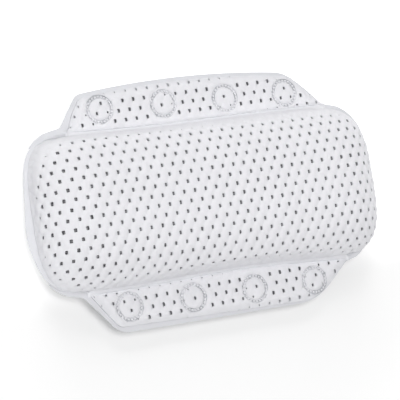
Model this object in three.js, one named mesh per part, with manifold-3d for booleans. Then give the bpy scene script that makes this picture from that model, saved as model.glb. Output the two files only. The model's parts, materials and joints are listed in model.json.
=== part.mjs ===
// Bath pillow: a domed cushion of perforated foam sheet, welded all round to a smooth back panel, with a
// perforated flange folding along each long side and four suction cups behind each flange.
// Millimetres. +X runs along the pillow, +Y towards the upper flange, +Z out of the tub wall.
// The origin is the middle of the plane that the suction cups' lips press on.

import * as THREE from "three";
import { mergeVertices } from "three/addons/utils/BufferGeometryUtils.js";
import Module from "manifold-3d";

const wasm = await Module();
wasm.setup();

// Clearance between pieces that touch.
const SEAT_GAP = 0.3;

// Cushion. The dome is a squared oval in plan, flat on top with full shoulders.
const CUSHION_LENGTH = 356; // over the welded rim
const FOLD_SPACING = 150; // between the two flanges' fold lines
const DOME_RISE = 37; // crown above the cover's foot
const SIDE_POWER = 3.5; // squareness from side to side
const END_POWER = 10.5; // squareness from end to end
const SHOULDER_POWER = 1.75; // fullness of the shoulders
const STRAIGHT_HALF = 115; // mesh columns run straight up to here and gather beyond it
const CORNER_SHARE = 0.95; // where the rim turns from a side to an end
const RIM_WIDTH = 6; // welded rim outside the dome at each end
const RIM_SIDE = 1.6; // welded rim outside the dome along each fold
const RIM_THICKNESS = 2.2;
const COVER_THICKNESS = 4;
const FILM_THICKNESS = 1; // back panel and flange backing
const BACK_BULGE = 6; // the filling pushes the back panel out by this much
const BULGE_SIDE_POWER = 2; // squareness of the bulge from side to side
const BULGE_END_POWER = 4; // squareness of the bulge from end to end
const BULGE_EDGE_POWER = 1.5; // how softly the bulge runs out at the rim

// Perforated foam sheet: staggered rows of square holes with a rounded bump between each two.
const MESH_PITCH = 10.8; // hole to hole along a row
const MESH_ROW = 8.8; // row to row
const MESH_SKEW = THREE.MathUtils.degToRad(2.45); // turn of the cover's rows against the pillow
const CROWN_HOLE_ALONG = -2.1; // the hole nearest the crown, along the pillow
const CROWN_HOLE_ACROSS = -3.6; // the same hole, across the pillow
const HOLE_WIDTH = 2.8;
const HOLE_LENGTH = 3.4;
const PIT_DEPTH = 2.6; // how far the domed cover's holes are pressed in
const BUMP_RISE = 0.5;
const MESH_SIDE_MARGIN = 31; // plain cover above each fold, along the surface
const MESH_END_MARGIN = 38; // plain cover above the rim at each end, along the surface

// Weld seam that each flange folds on.
const SEAM_DIAMETER = 1.2;

// Flanges: a trapezium with rounded outer corners and slanted ends.
const FLANGE_BASE = 276; // length at the fold
const FLANGE_DEPTH = 35; // fold line to outer edge
const FLANGE_END_ANGLE = THREE.MathUtils.degToRad(45);
const FLANGE_CORNER = 30; // radius of the outer corners
const FLANGE_THICKNESS = 4;
const LAND_WIDTH = 5.5; // flat welded border round the mesh
const LAND_AT_FOLD = 1.1; // the same border beside the fold
const LAND_THICKNESS = 1.2;
const BACKING_SETBACK = 1.4; // backing stops short of the fold so that the flange can turn back
const HOLE_MARGIN = 2.2; // least mesh between a hole's middle and the border or a ring

// Suction cups and the toothed rings that weld them on.
const CUPS_PER_FLANGE = 4;
const CUP_FROM_END = 42.6; // outer cup's middle from the flange's end, measured along the fold
const CUP_FROM_FOLD = 15.2;
const CUP_DIAMETER = 30;
const CUP_HEIGHT = 11;
const CUP_HOLLOW = 5.2; // depth inside the skirt
const LIP_WIDTH = 1.6; // flat ring that presses on the wall
const LIP_THICKNESS = 0.7;
const DISC_DIAMETER = 25.5;
const DISC_THICKNESS = 1.3;
const NECK_DIAMETER = 10;
const NECK_LENGTH = 2.2;
const RING_DIAMETER = 23.6; // middle of the toothed band
const RING_WIDTH = 2.8;
const RING_HEIGHT = 1.4;
const RING_SINK = 0.5; // the tips of the teeth lie this far below the mesh's face
const RING_TEETH = 24;
const TOOTH_DEPTH = 0.8;

// Fineness of the round pieces and of the plain surfaces.
const CUP_SEGMENTS = 18;
const GROOVE_SEGMENTS = 24;
const SEAM_SEGMENTS = 8;
const CURVE_STEPS = 3;
const SHOULDER_LOOPS = 2;
const PLAIN_COLUMNS = 10;
const PLAIN_ROWS = 14;
const RIM_COLUMNS = 20;
const RIM_ROWS = 32;
const ARC_SAMPLES = 400;
const CORNER_SEGMENTS = 8;
const MERGE_TOLERANCE = 1e-4; // points nearer than this are one point

// Levels, from the wall outwards.
const filmBottom = CUP_HEIGHT + SEAT_GAP;
const filmTop = filmBottom + FILM_THICKNESS;
const meshBottom = filmTop + SEAT_GAP;
const meshTop = meshBottom + FLANGE_THICKNESS;
const foldLevel = (filmTop + meshBottom) / 2;
const rimTop = filmBottom + RIM_THICKNESS;
const coverFoot = rimTop + SEAT_GAP;
const seamClear = SEAM_DIAMETER / 2 + SEAT_GAP;

// Plan sizes and rise of one domed surface, drawn in from the rim by so much at the ends and sides.
const rimForm = {
  halfLength: CUSHION_LENGTH / 2,
  halfWidth: FOLD_SPACING / 2 - seamClear,
  rise: 0,
};
function drawnIn(form, atEnds, atSides, rise) {
  return { halfLength: form.halfLength - atEnds, halfWidth: form.halfWidth - atSides, rise };
}
const outerForm = drawnIn(rimForm, RIM_WIDTH, RIM_SIDE, DOME_RISE);
const innerForm = drawnIn(outerForm, COVER_THICKNESS, COVER_THICKNESS, DOME_RISE - COVER_THICKNESS);
const fillingForm = drawnIn(innerForm, SEAT_GAP, SEAT_GAP, innerForm.rise - SEAT_GAP);

// Colours of the soft plastics.
const FOAM_WHITE = { color: 0xeceef2, roughness: 0.62, metalness: 0 };
const FILM_WHITE = { color: 0xe6e9ee, roughness: 0.42, metalness: 0 };
const FIBRE_WHITE = { color: 0xf4f3ef, roughness: 0.95, metalness: 0 };
const WELD_GREY = { color: 0xcfd3d8, roughness: 0.35, metalness: 0 };
const CUP_CLEAR = { color: 0xdfe6ea, roughness: 0.2, metalness: 0 };

function pieceOf(name, geometry, finish) {
  const mesh = new THREE.Mesh(geometry, new THREE.MeshStandardMaterial(finish));
  mesh.name = name;
  return mesh;
}

// Solids for cutting and joining.

function toSolid(geometry) {
  const bare = geometry.clone();
  bare.deleteAttribute("normal");
  bare.deleteAttribute("uv");
  const merged = mergeVertices(bare, MERGE_TOLERANCE);
  return new wasm.Manifold(
    new wasm.Mesh({
      numProp: 3,
      vertProperties: new Float32Array(merged.attributes.position.array),
      triVerts: new Uint32Array(merged.index.array),
    }),
  );
}

function toGeometry(solid) {
  const mesh = solid.getMesh();
  const geometry = new THREE.BufferGeometry();
  geometry.setAttribute("position", new THREE.BufferAttribute(mesh.vertProperties, 3));
  geometry.setIndex(new THREE.BufferAttribute(mesh.triVerts, 1));
  geometry.computeVertexNormals();
  return geometry;
}

function extrudeBetween(shapes, bottom, top) {
  const geometry = new THREE.ExtrudeGeometry(shapes, {
    depth: top - bottom,
    bevelEnabled: false,
    curveSegments: CORNER_SEGMENTS,
  });
  return geometry.translate(0, 0, bottom);
}

// A LatheGeometry turned so that its axis is Z. The profile is [radius, level] pairs.
function turned(profile, segments) {
  const points = profile.map(([radius, level]) => new THREE.Vector2(radius, level));
  return new THREE.LatheGeometry(points, segments).rotateX(Math.PI / 2);
}

// Domed surfaces.

// The curve of a dome's section from crown to foot, as shares of its half span with the length so far.
function sectionPath(halfSpan, rise, power) {
  const path = [{ share: 0, length: 0 }];
  let last = { out: 0, level: rise };
  let length = 0;
  for (let i = 1; i <= ARC_SAMPLES; i += 1) {
    const turn = ((i / ARC_SAMPLES) * Math.PI) / 2;
    const share = Math.sin(turn) ** (2 / power);
    const next = { out: share * halfSpan, level: rise * Math.cos(turn) ** (2 / SHOULDER_POWER) };
    length += Math.hypot(next.out - last.out, next.level - last.level);
    path.push({ share, length });
    last = next;
  }
  return path;
}

function pathLength(path) {
  return path[path.length - 1].length;
}

function shareAt(path, length) {
  const after = path.findIndex((step) => step.length >= length);
  if (after <= 0) return after === 0 ? 0 : 1;
  const from = path[after - 1];
  const to = path[after];
  return THREE.MathUtils.mapLinear(length, from.length, to.length, from.share, to.share);
}

// Stations from one side to the other, the given distance apart along the path.
function stationsAcross(path, spacing, count) {
  const half = Array.from({ length: count }, (_, i) => shareAt(path, (i + 1) * spacing));
  return [...half.map((share) => -share).reverse(), 0, ...half];
}

function evenStations(path, cells) {
  return stationsAcross(path, pathLength(path) / (cells / 2), cells / 2);
}

// The point of a dome that lies the given shares of the way to its end and to its side.
function domePoint(form, along, across) {
  const left = Math.max(0, 1 - Math.abs(across) ** SIDE_POWER);
  const reach = Math.max(left, 1 - CORNER_SHARE) ** (1 / END_POWER);
  const straight = STRAIGHT_HALF / form.halfLength;
  const gathered = Math.max(0, Math.abs(along) - straight) * ((reach - straight) / (1 - straight));
  const share = Math.min(Math.abs(along), straight) + gathered;
  const height = Math.max(0, left - share ** END_POWER) ** (1 / SHOULDER_POWER);
  return new THREE.Vector3(
    Math.sign(along) * share * form.halfLength,
    across * form.halfWidth,
    coverFoot + form.rise * height,
  );
}

// Points and triangles of a closed surface, wound so that faces point out.
class Skin {
  points = [];
  faces = [];

  add(point) {
    return this.points.push(point) - 1;
  }

  // A sheet of rows of points, facing up. Quads split from corner to corner as the chooser says.
  sheet(rows, splitOther = () => false) {
    for (let r = 0; r + 1 < rows.length; r += 1) {
      for (let c = 0; c + 1 < rows[r].length; c += 1) {
        const [a, b] = [rows[r][c], rows[r][c + 1]];
        const [d, e] = [rows[r + 1][c], rows[r + 1][c + 1]];
        if (splitOther(r, c)) this.faces.push(a, b, d, b, e, d);
        else this.faces.push(a, b, e, a, e, d);
      }
    }
  }

  // A band from an upper loop to a lower or wider loop of as many points.
  band(upper, lower) {
    upper.forEach((a, i) => {
      const next = (i + 1) % upper.length;
      this.faces.push(a, lower[i], lower[next], a, lower[next], upper[next]);
    });
  }

  // A flat floor inside a loop, facing down.
  floor(loop, middle) {
    loop.forEach((a, i) => this.faces.push(middle, loop[(i + 1) % loop.length], a));
  }

  geometry() {
    const geometry = new THREE.BufferGeometry().setFromPoints(this.points);
    geometry.setIndex(this.faces);
    geometry.computeVertexNormals();
    return geometry;
  }
}

// The border of rows of anything, counterclockwise from the first row's start.
function borderOf(rows) {
  const top = rows[rows.length - 1];
  const right = rows.slice(1, -1).map((row) => row[row.length - 1]);
  const left = rows.slice(1, -1).map((row) => row[0]);
  return [...rows[0], ...right, ...[...top].reverse(), ...left.reverse()];
}

function gridOf(columns, rows, makeCell) {
  return rows.map((across, r) => columns.map((along, c) => makeCell(along, across, r, c)));
}

const outerAlong = sectionPath(outerForm.halfLength, outerForm.rise, END_POWER);
const outerAcross = sectionPath(outerForm.halfWidth, outerForm.rise, SIDE_POWER);
const plainColumns = evenStations(outerAlong, PLAIN_COLUMNS);
const plainRows = evenStations(outerAcross, PLAIN_ROWS);

// A closed form between two plain surfaces over the same plan.
function plainSolid(form, topOf, bottomOf) {
  const skin = new Skin();
  const layer = (place) =>
    gridOf(plainColumns, plainRows, (along, across) => skin.add(place(domePoint(form, along, across))));
  const top = layer(topOf);
  const bottom = layer(bottomOf);
  skin.sheet(top);
  skin.sheet(bottom.map((row) => [...row].reverse()), () => true);
  skin.band(borderOf(top), borderOf(bottom));
  return skin.geometry();
}

// The plan outline of a form, as a closed shape through the given stations.
function footShape(form, columns, rows) {
  const grid = gridOf(columns, rows, (along, across) => domePoint(form, along, across));
  return new THREE.Shape(borderOf(grid).map((point) => new THREE.Vector2(point.x, point.y)));
}

function backBulge(point) {
  const toSide = Math.abs(point.y / innerForm.halfWidth) ** BULGE_SIDE_POWER;
  const toEnd = Math.abs(point.x / innerForm.halfLength) ** BULGE_END_POWER;
  return BACK_BULGE * Math.max(0, 1 - toSide - toEnd) ** BULGE_EDGE_POWER;
}

function atLevel(point, level) {
  return new THREE.Vector3(point.x, point.y, level);
}

// Cushion pieces.

// Where a distance from the crown falls, as a share of the way to the foot.
function signedShare(path, distance) {
  return Math.sign(distance) * shareAt(path, Math.abs(distance));
}

// The cover's point that lies so far along and across from the crown, and so deep in the cover.
function coverPoint(along, across, depth) {
  const shares = [signedShare(outerAlong, along), signedShare(outerAcross, across)];
  return domePoint(outerForm, ...shares).lerp(domePoint(innerForm, ...shares), depth / COVER_THICKNESS);
}

// The cover's outside: pits and bumps on the crown's lattice, then plain shoulders down to the foot.
// Lattice steps are counted from the hole nearest the crown.
function pittedDome() {
  const [toEnd, toSide] = [pathLength(outerAlong), pathLength(outerAcross)];
  const lastColumn = Math.floor((toEnd - MESH_END_MARGIN) / (MESH_PITCH / 2));
  const lastRow = Math.floor((toSide - MESH_SIDE_MARGIN) / MESH_ROW);
  const stepsTo = (last) => Array.from({ length: 2 * last + 1 }, (_, i) => i - last);
  const [columns, rows] = [stepsTo(lastColumn), stepsTo(lastRow)];
  const isBorder = (column, row) => Math.abs(column) === lastColumn || Math.abs(row) === lastRow;
  const isPit = (column, row) => (column + row) % 2 === 0;
  const depthAt = (column, row) => (isPit(column, row) ? PIT_DEPTH : -BUMP_RISE);
  const skin = new Skin();
  const crown = gridOf(columns, rows, (column, row) => {
    const place = new THREE.Vector2(column * (MESH_PITCH / 2), row * MESH_ROW);
    place.rotateAround(new THREE.Vector2(), MESH_SKEW);
    const depth = isBorder(column, row) ? 0 : depthAt(column, row);
    return skin.add(coverPoint(CROWN_HOLE_ALONG + place.x, CROWN_HOLE_ACROSS + place.y, depth));
  });
  skin.sheet(crown, (r, c) => isPit(columns[c], rows[r]));

  const border = borderOf(gridOf(columns, rows, (column, row) => [column / lastColumn, row / lastRow]));
  const loops = [borderOf(crown)];
  for (let i = 1; i <= SHOULDER_LOOPS; i += 1) {
    const left = 1 - i / SHOULDER_LOOPS;
    const [along, across] = [toEnd - MESH_END_MARGIN * left, toSide - MESH_SIDE_MARGIN * left];
    loops.push(border.map(([column, row]) => skin.add(coverPoint(column * along, row * across, 0))));
    skin.band(loops[i - 1], loops[i]);
  }
  skin.floor(loops[SHOULDER_LOOPS], skin.add(new THREE.Vector3(0, 0, coverFoot)));
  return skin.geometry();
}

function frontCover() {
  const below = coverFoot - COVER_THICKNESS;
  const hollow = plainSolid(innerForm, (point) => point, (point) => atLevel(point, below));
  return toGeometry(toSolid(pittedDome()).subtract(toSolid(hollow)));
}

function fibreFilling() {
  const onPanel = (point) => atLevel(point, filmTop + SEAT_GAP - backBulge(point));
  return plainSolid(fillingForm, (point) => point, onPanel);
}

// The bulged film, joined to the thicker rim that the cover is welded to.
function backPanel() {
  const underFoot = -COVER_THICKNESS / 2;
  const filmForm = drawnIn(innerForm, underFoot, underFoot, 0);
  const film = plainSolid(
    filmForm,
    (point) => atLevel(point, filmTop - backBulge(point)),
    (point) => atLevel(point, filmBottom - backBulge(point)),
  );
  const rimColumns = evenStations(outerAlong, RIM_COLUMNS);
  const rimRows = evenStations(outerAcross, RIM_ROWS);
  const rim = footShape(rimForm, rimColumns, rimRows);
  rim.holes.push(footShape(innerForm, plainColumns, plainRows));
  return toGeometry(toSolid(film).add(toSolid(extrudeBetween(rim, filmBottom, rimTop))));
}

function seamWeld() {
  const bead = new THREE.CylinderGeometry(SEAM_DIAMETER / 2, SEAM_DIAMETER / 2, FLANGE_BASE, SEAM_SEGMENTS);
  return bead.rotateZ(Math.PI / 2);
}

// Flange pieces, with the fold along X through the origin and the flange reaching to +Y.

const cupSpacing = (FLANGE_BASE - 2 * CUP_FROM_END) / (CUPS_PER_FLANGE - 1);
const cupPlaces = Array.from(
  { length: CUPS_PER_FLANGE },
  (_, i) => new THREE.Vector2((i - (CUPS_PER_FLANGE - 1) / 2) * cupSpacing, CUP_FROM_FOLD),
);

function flangeHalf(fromFold, inset) {
  return FLANGE_BASE / 2 - fromFold * Math.tan(FLANGE_END_ANGLE) - inset / Math.cos(FLANGE_END_ANGLE);
}

// A flange's outline, drawn in from its free edges and starting so far from the fold.
function flangeShape(inset, start) {
  const outer = FLANGE_DEPTH - inset;
  const radius = FLANGE_CORNER - inset;
  const corner = flangeHalf(outer, inset);
  const centre = corner - radius * Math.tan((Math.PI / 2 - FLANGE_END_ANGLE) / 2);
  const shape = new THREE.Shape();
  shape.moveTo(-flangeHalf(start, inset), start);
  shape.lineTo(flangeHalf(start, inset), start);
  shape.absarc(centre, outer - radius, radius, FLANGE_END_ANGLE, Math.PI / 2, false);
  shape.absarc(-centre, outer - radius, radius, Math.PI / 2, Math.PI - FLANGE_END_ANGLE, false);
  return shape;
}

// Middles of the flange's holes: staggered rows, clear of the border and of the rings.
function flangeHoles() {
  const first = seamClear + LAND_AT_FOLD + HOLE_MARGIN;
  const last = FLANGE_DEPTH - LAND_WIDTH - HOLE_MARGIN;
  const rowCount = Math.floor((last - first) / MESH_ROW) + 1;
  const start = (first + last - (rowCount - 1) * MESH_ROW) / 2;
  const ringClear = RING_WIDTH / 2 + SEAT_GAP + HOLE_MARGIN;
  const clearOfRings = (place) =>
    cupPlaces.every((cup) => Math.abs(place.distanceTo(cup) - RING_DIAMETER / 2) > ringClear);
  const places = [];
  for (let row = 0; row < rowCount; row += 1) {
    const y = start + row * MESH_ROW;
    const shift = (row % 2) * (MESH_PITCH / 2);
    const reach = flangeHalf(y, LAND_WIDTH + HOLE_MARGIN);
    const steps = Math.ceil(reach / MESH_PITCH);
    for (let k = -steps; k <= steps; k += 1) {
      const place = new THREE.Vector2(k * MESH_PITCH + shift, y);
      if (Math.abs(place.x) <= reach && clearOfRings(place)) places.push(place);
    }
  }
  return places;
}

function holeShape(place) {
  const [x, y] = [HOLE_WIDTH / 2, HOLE_LENGTH / 2];
  const corners = [[-x, -y], [x, -y], [x, y], [-x, y]];
  return new THREE.Shape(corners.map(([dx, dy]) => new THREE.Vector2(place.x + dx, place.y + dy)));
}

function ringGroove() {
  const inner = (RING_DIAMETER - RING_WIDTH) / 2 - SEAT_GAP;
  const outer = (RING_DIAMETER + RING_WIDTH) / 2 + SEAT_GAP;
  const bottom = meshTop - RING_SINK - RING_HEIGHT - SEAT_GAP;
  const top = meshTop + RING_HEIGHT;
  const corners = [[inner, bottom], [outer, bottom], [outer, top], [inner, top], [inner, bottom]];
  return turned(corners, GROOVE_SEGMENTS);
}

// Perforated front layer: raised mesh inside a flat welded border, with a groove for each ring.
function flangeMesh() {
  const border = extrudeBetween(flangeShape(0, seamClear), meshBottom, meshBottom + LAND_THICKNESS);
  const field = extrudeBetween(flangeShape(LAND_WIDTH, seamClear + LAND_AT_FOLD), meshBottom, meshTop);
  const holes = extrudeBetween(flangeHoles().map(holeShape), meshBottom - SEAT_GAP, meshTop + SEAT_GAP);
  let sheet = toSolid(border).add(toSolid(field)).subtract(toSolid(holes));
  for (const cup of cupPlaces) {
    sheet = sheet.subtract(toSolid(ringGroove().translate(cup.x, cup.y, 0)));
  }
  return toGeometry(sheet);
}

function flangeBacking() {
  return extrudeBetween(flangeShape(0, BACKING_SETBACK), filmBottom, filmTop);
}

// A ring whose upper face rises and falls in teeth.
function weldRing() {
  const skin = new Skin();
  const steps = RING_TEETH * 2;
  const tip = meshTop - RING_SINK;
  const bottom = tip - RING_HEIGHT;
  const loop = (radius, levelAt) =>
    Array.from({ length: steps }, (_, i) => {
      const turn = (i / steps) * 2 * Math.PI;
      return skin.add(new THREE.Vector3(radius * Math.cos(turn), radius * Math.sin(turn), levelAt(i)));
    });
  const toothed = (i) => tip - (i % 2) * TOOTH_DEPTH;
  const inside = loop((RING_DIAMETER - RING_WIDTH) / 2, () => bottom);
  const outside = loop((RING_DIAMETER + RING_WIDTH) / 2, () => bottom);
  const ridge = loop(RING_DIAMETER / 2, toothed);
  skin.band(ridge, outside);
  skin.band(outside, inside);
  skin.band(inside, ridge);
  return skin.geometry();
}

// One soft moulding: weld disc, neck and bell-shaped skirt with a flat lip.
function suctionCup() {
  const lip = CUP_DIAMETER / 2;
  const neck = NECK_DIAMETER / 2;
  const discBottom = CUP_HEIGHT - DISC_THICKNESS;
  const skirtTop = discBottom - NECK_LENGTH;
  const hollow = lip - LIP_WIDTH;
  const at = (radius, level) => new THREE.Vector2(radius, level);
  const bell = new THREE.QuadraticBezierCurve(
    at(neck, skirtTop),
    at(hollow, skirtTop - NECK_LENGTH),
    at(lip, LIP_THICKNESS),
  );
  const inside = new THREE.QuadraticBezierCurve(
    at(hollow, 0),
    at(hollow / 2, CUP_HOLLOW),
    at(0, CUP_HOLLOW),
  );
  const profile = [
    at(0, CUP_HEIGHT),
    at(DISC_DIAMETER / 2, CUP_HEIGHT),
    at(DISC_DIAMETER / 2, discBottom),
    at(neck, discBottom),
    ...bell.getPoints(CURVE_STEPS),
    at(lip, 0),
    ...inside.getPoints(CURVE_STEPS),
  ];
  return turned(profile.reverse().map((point) => [point.x, point.y]), CUP_SEGMENTS);
}

// One flange with its cups and rings. Facing -1 turns it half round, for the lower edge.
function flange(side, facing) {
  const group = new THREE.Group();
  group.position.y = (facing * FOLD_SPACING) / 2;
  group.rotation.z = facing > 0 ? 0 : Math.PI;
  group.add(pieceOf(`${side}_flange_mesh`, flangeMesh(), FOAM_WHITE));
  group.add(pieceOf(`${side}_flange_backing`, flangeBacking(), FILM_WHITE));
  cupPlaces.forEach((place, i) => {
    const cup = pieceOf(`suction_cup_${side}_${i + 1}`, suctionCup(), CUP_CLEAR);
    const ring = pieceOf(`weld_ring_${side}_${i + 1}`, weldRing(), WELD_GREY);
    for (const piece of [cup, ring]) {
      piece.position.set(facing * place.x, place.y, 0);
      group.add(piece);
    }
  });
  return group;
}

function seam(side, facing) {
  const bead = pieceOf(`${side}_seam_weld`, seamWeld(), WELD_GREY);
  bead.position.set(0, (facing * FOLD_SPACING) / 2, foldLevel);
  return bead;
}

const pillow = new THREE.Group();
pillow.add(pieceOf("front_cover", frontCover(), FOAM_WHITE));
pillow.add(pieceOf("fibre_filling", fibreFilling(), FIBRE_WHITE));
pillow.add(pieceOf("back_panel", backPanel(), FILM_WHITE));
pillow.add(seam("upper", 1));
pillow.add(seam("lower", -1));
pillow.add(flange("upper", 1));
pillow.add(flange("lower", -1));

export default pillow;
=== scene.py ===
import cmath
import json
import math
from typing import NamedTuple

import bpy
import numpy as np
from bpy.props import FloatProperty, FloatVectorProperty, IntProperty, PointerProperty
from mathutils import Matrix, Vector


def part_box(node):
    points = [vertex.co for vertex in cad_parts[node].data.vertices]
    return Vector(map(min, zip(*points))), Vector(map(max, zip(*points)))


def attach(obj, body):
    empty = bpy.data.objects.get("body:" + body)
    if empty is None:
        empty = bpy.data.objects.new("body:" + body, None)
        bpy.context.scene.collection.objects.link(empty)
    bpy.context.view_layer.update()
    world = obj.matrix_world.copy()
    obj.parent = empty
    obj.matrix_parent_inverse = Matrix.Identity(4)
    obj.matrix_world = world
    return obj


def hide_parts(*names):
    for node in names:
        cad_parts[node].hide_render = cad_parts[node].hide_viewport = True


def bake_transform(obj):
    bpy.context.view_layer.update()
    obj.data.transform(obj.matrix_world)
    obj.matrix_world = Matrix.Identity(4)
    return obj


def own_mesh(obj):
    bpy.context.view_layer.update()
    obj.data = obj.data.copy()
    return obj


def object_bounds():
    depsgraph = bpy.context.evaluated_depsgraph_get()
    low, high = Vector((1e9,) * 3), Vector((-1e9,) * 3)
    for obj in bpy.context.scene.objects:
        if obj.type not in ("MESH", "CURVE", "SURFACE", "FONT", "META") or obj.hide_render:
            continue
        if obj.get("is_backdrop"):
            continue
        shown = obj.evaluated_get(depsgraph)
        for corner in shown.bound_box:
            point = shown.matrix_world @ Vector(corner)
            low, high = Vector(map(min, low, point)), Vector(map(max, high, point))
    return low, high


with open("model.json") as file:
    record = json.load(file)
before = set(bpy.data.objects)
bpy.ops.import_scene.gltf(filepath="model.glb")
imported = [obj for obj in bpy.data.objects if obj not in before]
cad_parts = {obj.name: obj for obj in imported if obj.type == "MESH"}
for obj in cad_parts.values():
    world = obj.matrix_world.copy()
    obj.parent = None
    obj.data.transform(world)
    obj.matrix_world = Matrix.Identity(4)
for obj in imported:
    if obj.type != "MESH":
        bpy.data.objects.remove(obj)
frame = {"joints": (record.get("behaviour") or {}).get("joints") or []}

bl_info = {
    "name": "Bath Pillow",
    "version": (1, 0, 0),
    "blender": (4, 5, 0),
    "location": "3D View > Sidebar > Bath Pillow",
    "description": "Dresses a bath pillow's frame in perforated foam, film, welds and suction cups",
    "category": "Add Mesh",
}

MM = 0.001

# Places that the frame gives, in metres.
CAD_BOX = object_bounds()
COVER_LOW, COVER_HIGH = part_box("front_cover")
FILLING_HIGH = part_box("fibre_filling")[1]
PANEL_LOW, PANEL_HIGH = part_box("back_panel")
FLANGE_LOW, FLANGE_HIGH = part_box("upper_flange_mesh")
BACKING_LOW, BACKING_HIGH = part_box("upper_flange_backing")
RING_LOW, RING_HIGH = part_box("weld_ring_upper_1")
CUP_LOW, CUP_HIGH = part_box("suction_cup_upper_1")
FOLD_JOINT = next(joint for joint in frame["joints"] if joint["name"] == "upper_flange_fold")
FOLD_Y, FOLD_Z = FOLD_JOINT["pos_m"][1:]
SIDES = {"upper": 1, "lower": -1}
CUP_NUMBERS = (1, 2, 3, 4)
FLANGE_ROOT = FLANGE_HIGH.x + FLANGE_LOW.y - FOLD_Y
FLANGE_DEPTH = FLANGE_HIGH.y - FOLD_Y


def number(name, description, default):
    return FloatProperty(name=name, description=description, default=default)


def distance(name, description, default):
    return FloatProperty(name=name, description=description, default=default, unit="LENGTH")


def colour(name, description, default):
    return FloatVectorProperty(name=name, description=description, default=default, subtype="COLOR")


class BathPillowSizes(bpy.types.PropertyGroup):
    """Sizes of the soft pieces"""

    dome_rise: distance("Dome rise", "Height of the foam's valleys above the foot of the dome", 36.0 * MM)
    side_power: number("Side squareness", "Squareness of the dome across", 3.5)
    end_power: number("End squareness", "Squareness of the dome along", 10.5)
    shoulder_power: number("Shoulders", "Fullness of the dome's shoulders", 1.75)
    hole_pitch: distance("Hole pitch", "From hole to hole along a row", 10.83 * MM)
    row_pitch: distance("Row pitch", "From one row of holes to the next", 8.9 * MM)
    lattice_skew: FloatProperty(
        name="Lattice skew", description="Turn of the rows against the pillow",
        default=math.radians(2.45), subtype="ANGLE", unit="ROTATION",
    )
    foam_thickness: distance("Foam thickness", "Thickness of the foam sheet", 3.6 * MM)
    foam_puff: distance("Foam puff", "Rise of the bumps between the holes", 1.55 * MM)
    hole_lip: distance("Hole lip", "Width of the rounded lip of each hole", 0.28 * MM)
    lip_drop: distance("Lip drop", "How far the lip turns down into the hole", 0.45 * MM)
    upper_band: distance("Upper band", "Plain foam from the upper fold to the first row of holes", 19.5 * MM)
    lower_band: distance("Lower band", "Plain foam from the lower fold to the first row of holes", 14 * MM)
    end_band: distance("End band", "Plain foam above the rim at each end", 3 * MM)
    band_fade: distance("Hole fade", "Distance over which the holes open to their full size", 10 * MM)
    thread_width: distance("Thread width", "Width of the knitted threads behind the holes", 0.55 * MM)
    thread_depth: distance("Thread depth", "Depth of the threads below the foam's valleys", 2.3 * MM)
    border_width: distance("Border width", "Flat welded border of a flange's foam", 3.6 * MM)
    border_thickness: distance("Border thickness", "Thickness of a flange's welded border", 1.9 * MM)
    corner_tuck: distance("Corner tuck", "How far the rim is drawn in at the lower right corner", 3.0 * MM)
    seam_width: distance("Seam width", "Pressed strip along each fold", 5.0 * MM)
    seam_dip: distance("Seam dip", "Depth of the crease and of the tool's marks along each seam", 0.5 * MM)
    seam_rise: distance("Seam rise", "How far each seam's strip runs up the foot of the dome", 3.5 * MM)
    rim_bulge: distance("Rim bulge", "How far the rim's film stands out at the left end", 3.5 * MM)
    film_thickness: distance("Film thickness", "Thickness of the back film", 1.0 * MM)
    groove_width: distance("Groove width", "Width of the groove that each ring is pressed into", 3.0 * MM)
    groove_depth: distance("Groove depth", "Depth of the groove that each ring is pressed into", 1.9 * MM)
    ring_beads: IntProperty(name="Ring beads", description="Beads round each weld ring", default=24)


class BathPillowColours(bpy.types.PropertyGroup):
    """Colours of the soft plastics"""

    foam: colour("Foam", "Foamed sheet", (0.82, 0.82, 0.85))
    # Deep inside a hole the foam takes this darker colour as painted shade.
    hole_painted_shade: colour("Foam shade", "Foamed sheet deep inside a hole", (0.20, 0.205, 0.22))
    film: colour("Film", "Smooth film and welded borders", (0.70, 0.705, 0.735))
    # The filling's dark grey is painted shade; the wadding itself is near white.
    fibre: colour("Fibre", "Filling in the shade of the cover", (0.26, 0.26, 0.27))
    thread: colour("Thread", "Knitted backing of the foam", (0.55, 0.55, 0.57))
    # The weld's grey is partly the fused plastic's tone and partly painted shade in the grooves round the
    # beads.
    weld: colour("Weld", "Fused rings and seams", (0.58, 0.59, 0.62))
    cup: colour("Cup", "Clear suction cups", (0.86, 0.90, 0.93))
    floor: colour("Floor", "Studio floor", (0.90, 0.90, 0.90))


# Shader maths.


def connect(tree, socket, value):
    if isinstance(value, Wire):
        tree.links.new(value.socket, socket)
    else:
        socket.default_value = value


def overload(operation, swapped=False):
    """An operator between two wires, or a wire and a number."""

    def combine(self, other):
        node = self.tree.nodes.new("ShaderNodeMath")
        node.operation = operation
        for socket, value in zip(node.inputs, (other, self) if swapped else (self, other)):
            connect(self.tree, socket, value)
        return Wire(self.tree, node.outputs[0])

    return combine


class Wire:
    """One value in a material, so that shader maths reads as Python."""

    def __init__(self, tree, socket):
        self.tree = tree
        self.socket = socket

    __add__ = __radd__ = overload("ADD")
    __mul__ = __rmul__ = overload("MULTIPLY")
    __sub__ = overload("SUBTRACT")
    __rsub__ = overload("SUBTRACT", swapped=True)
    __pow__ = overload("POWER")


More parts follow.
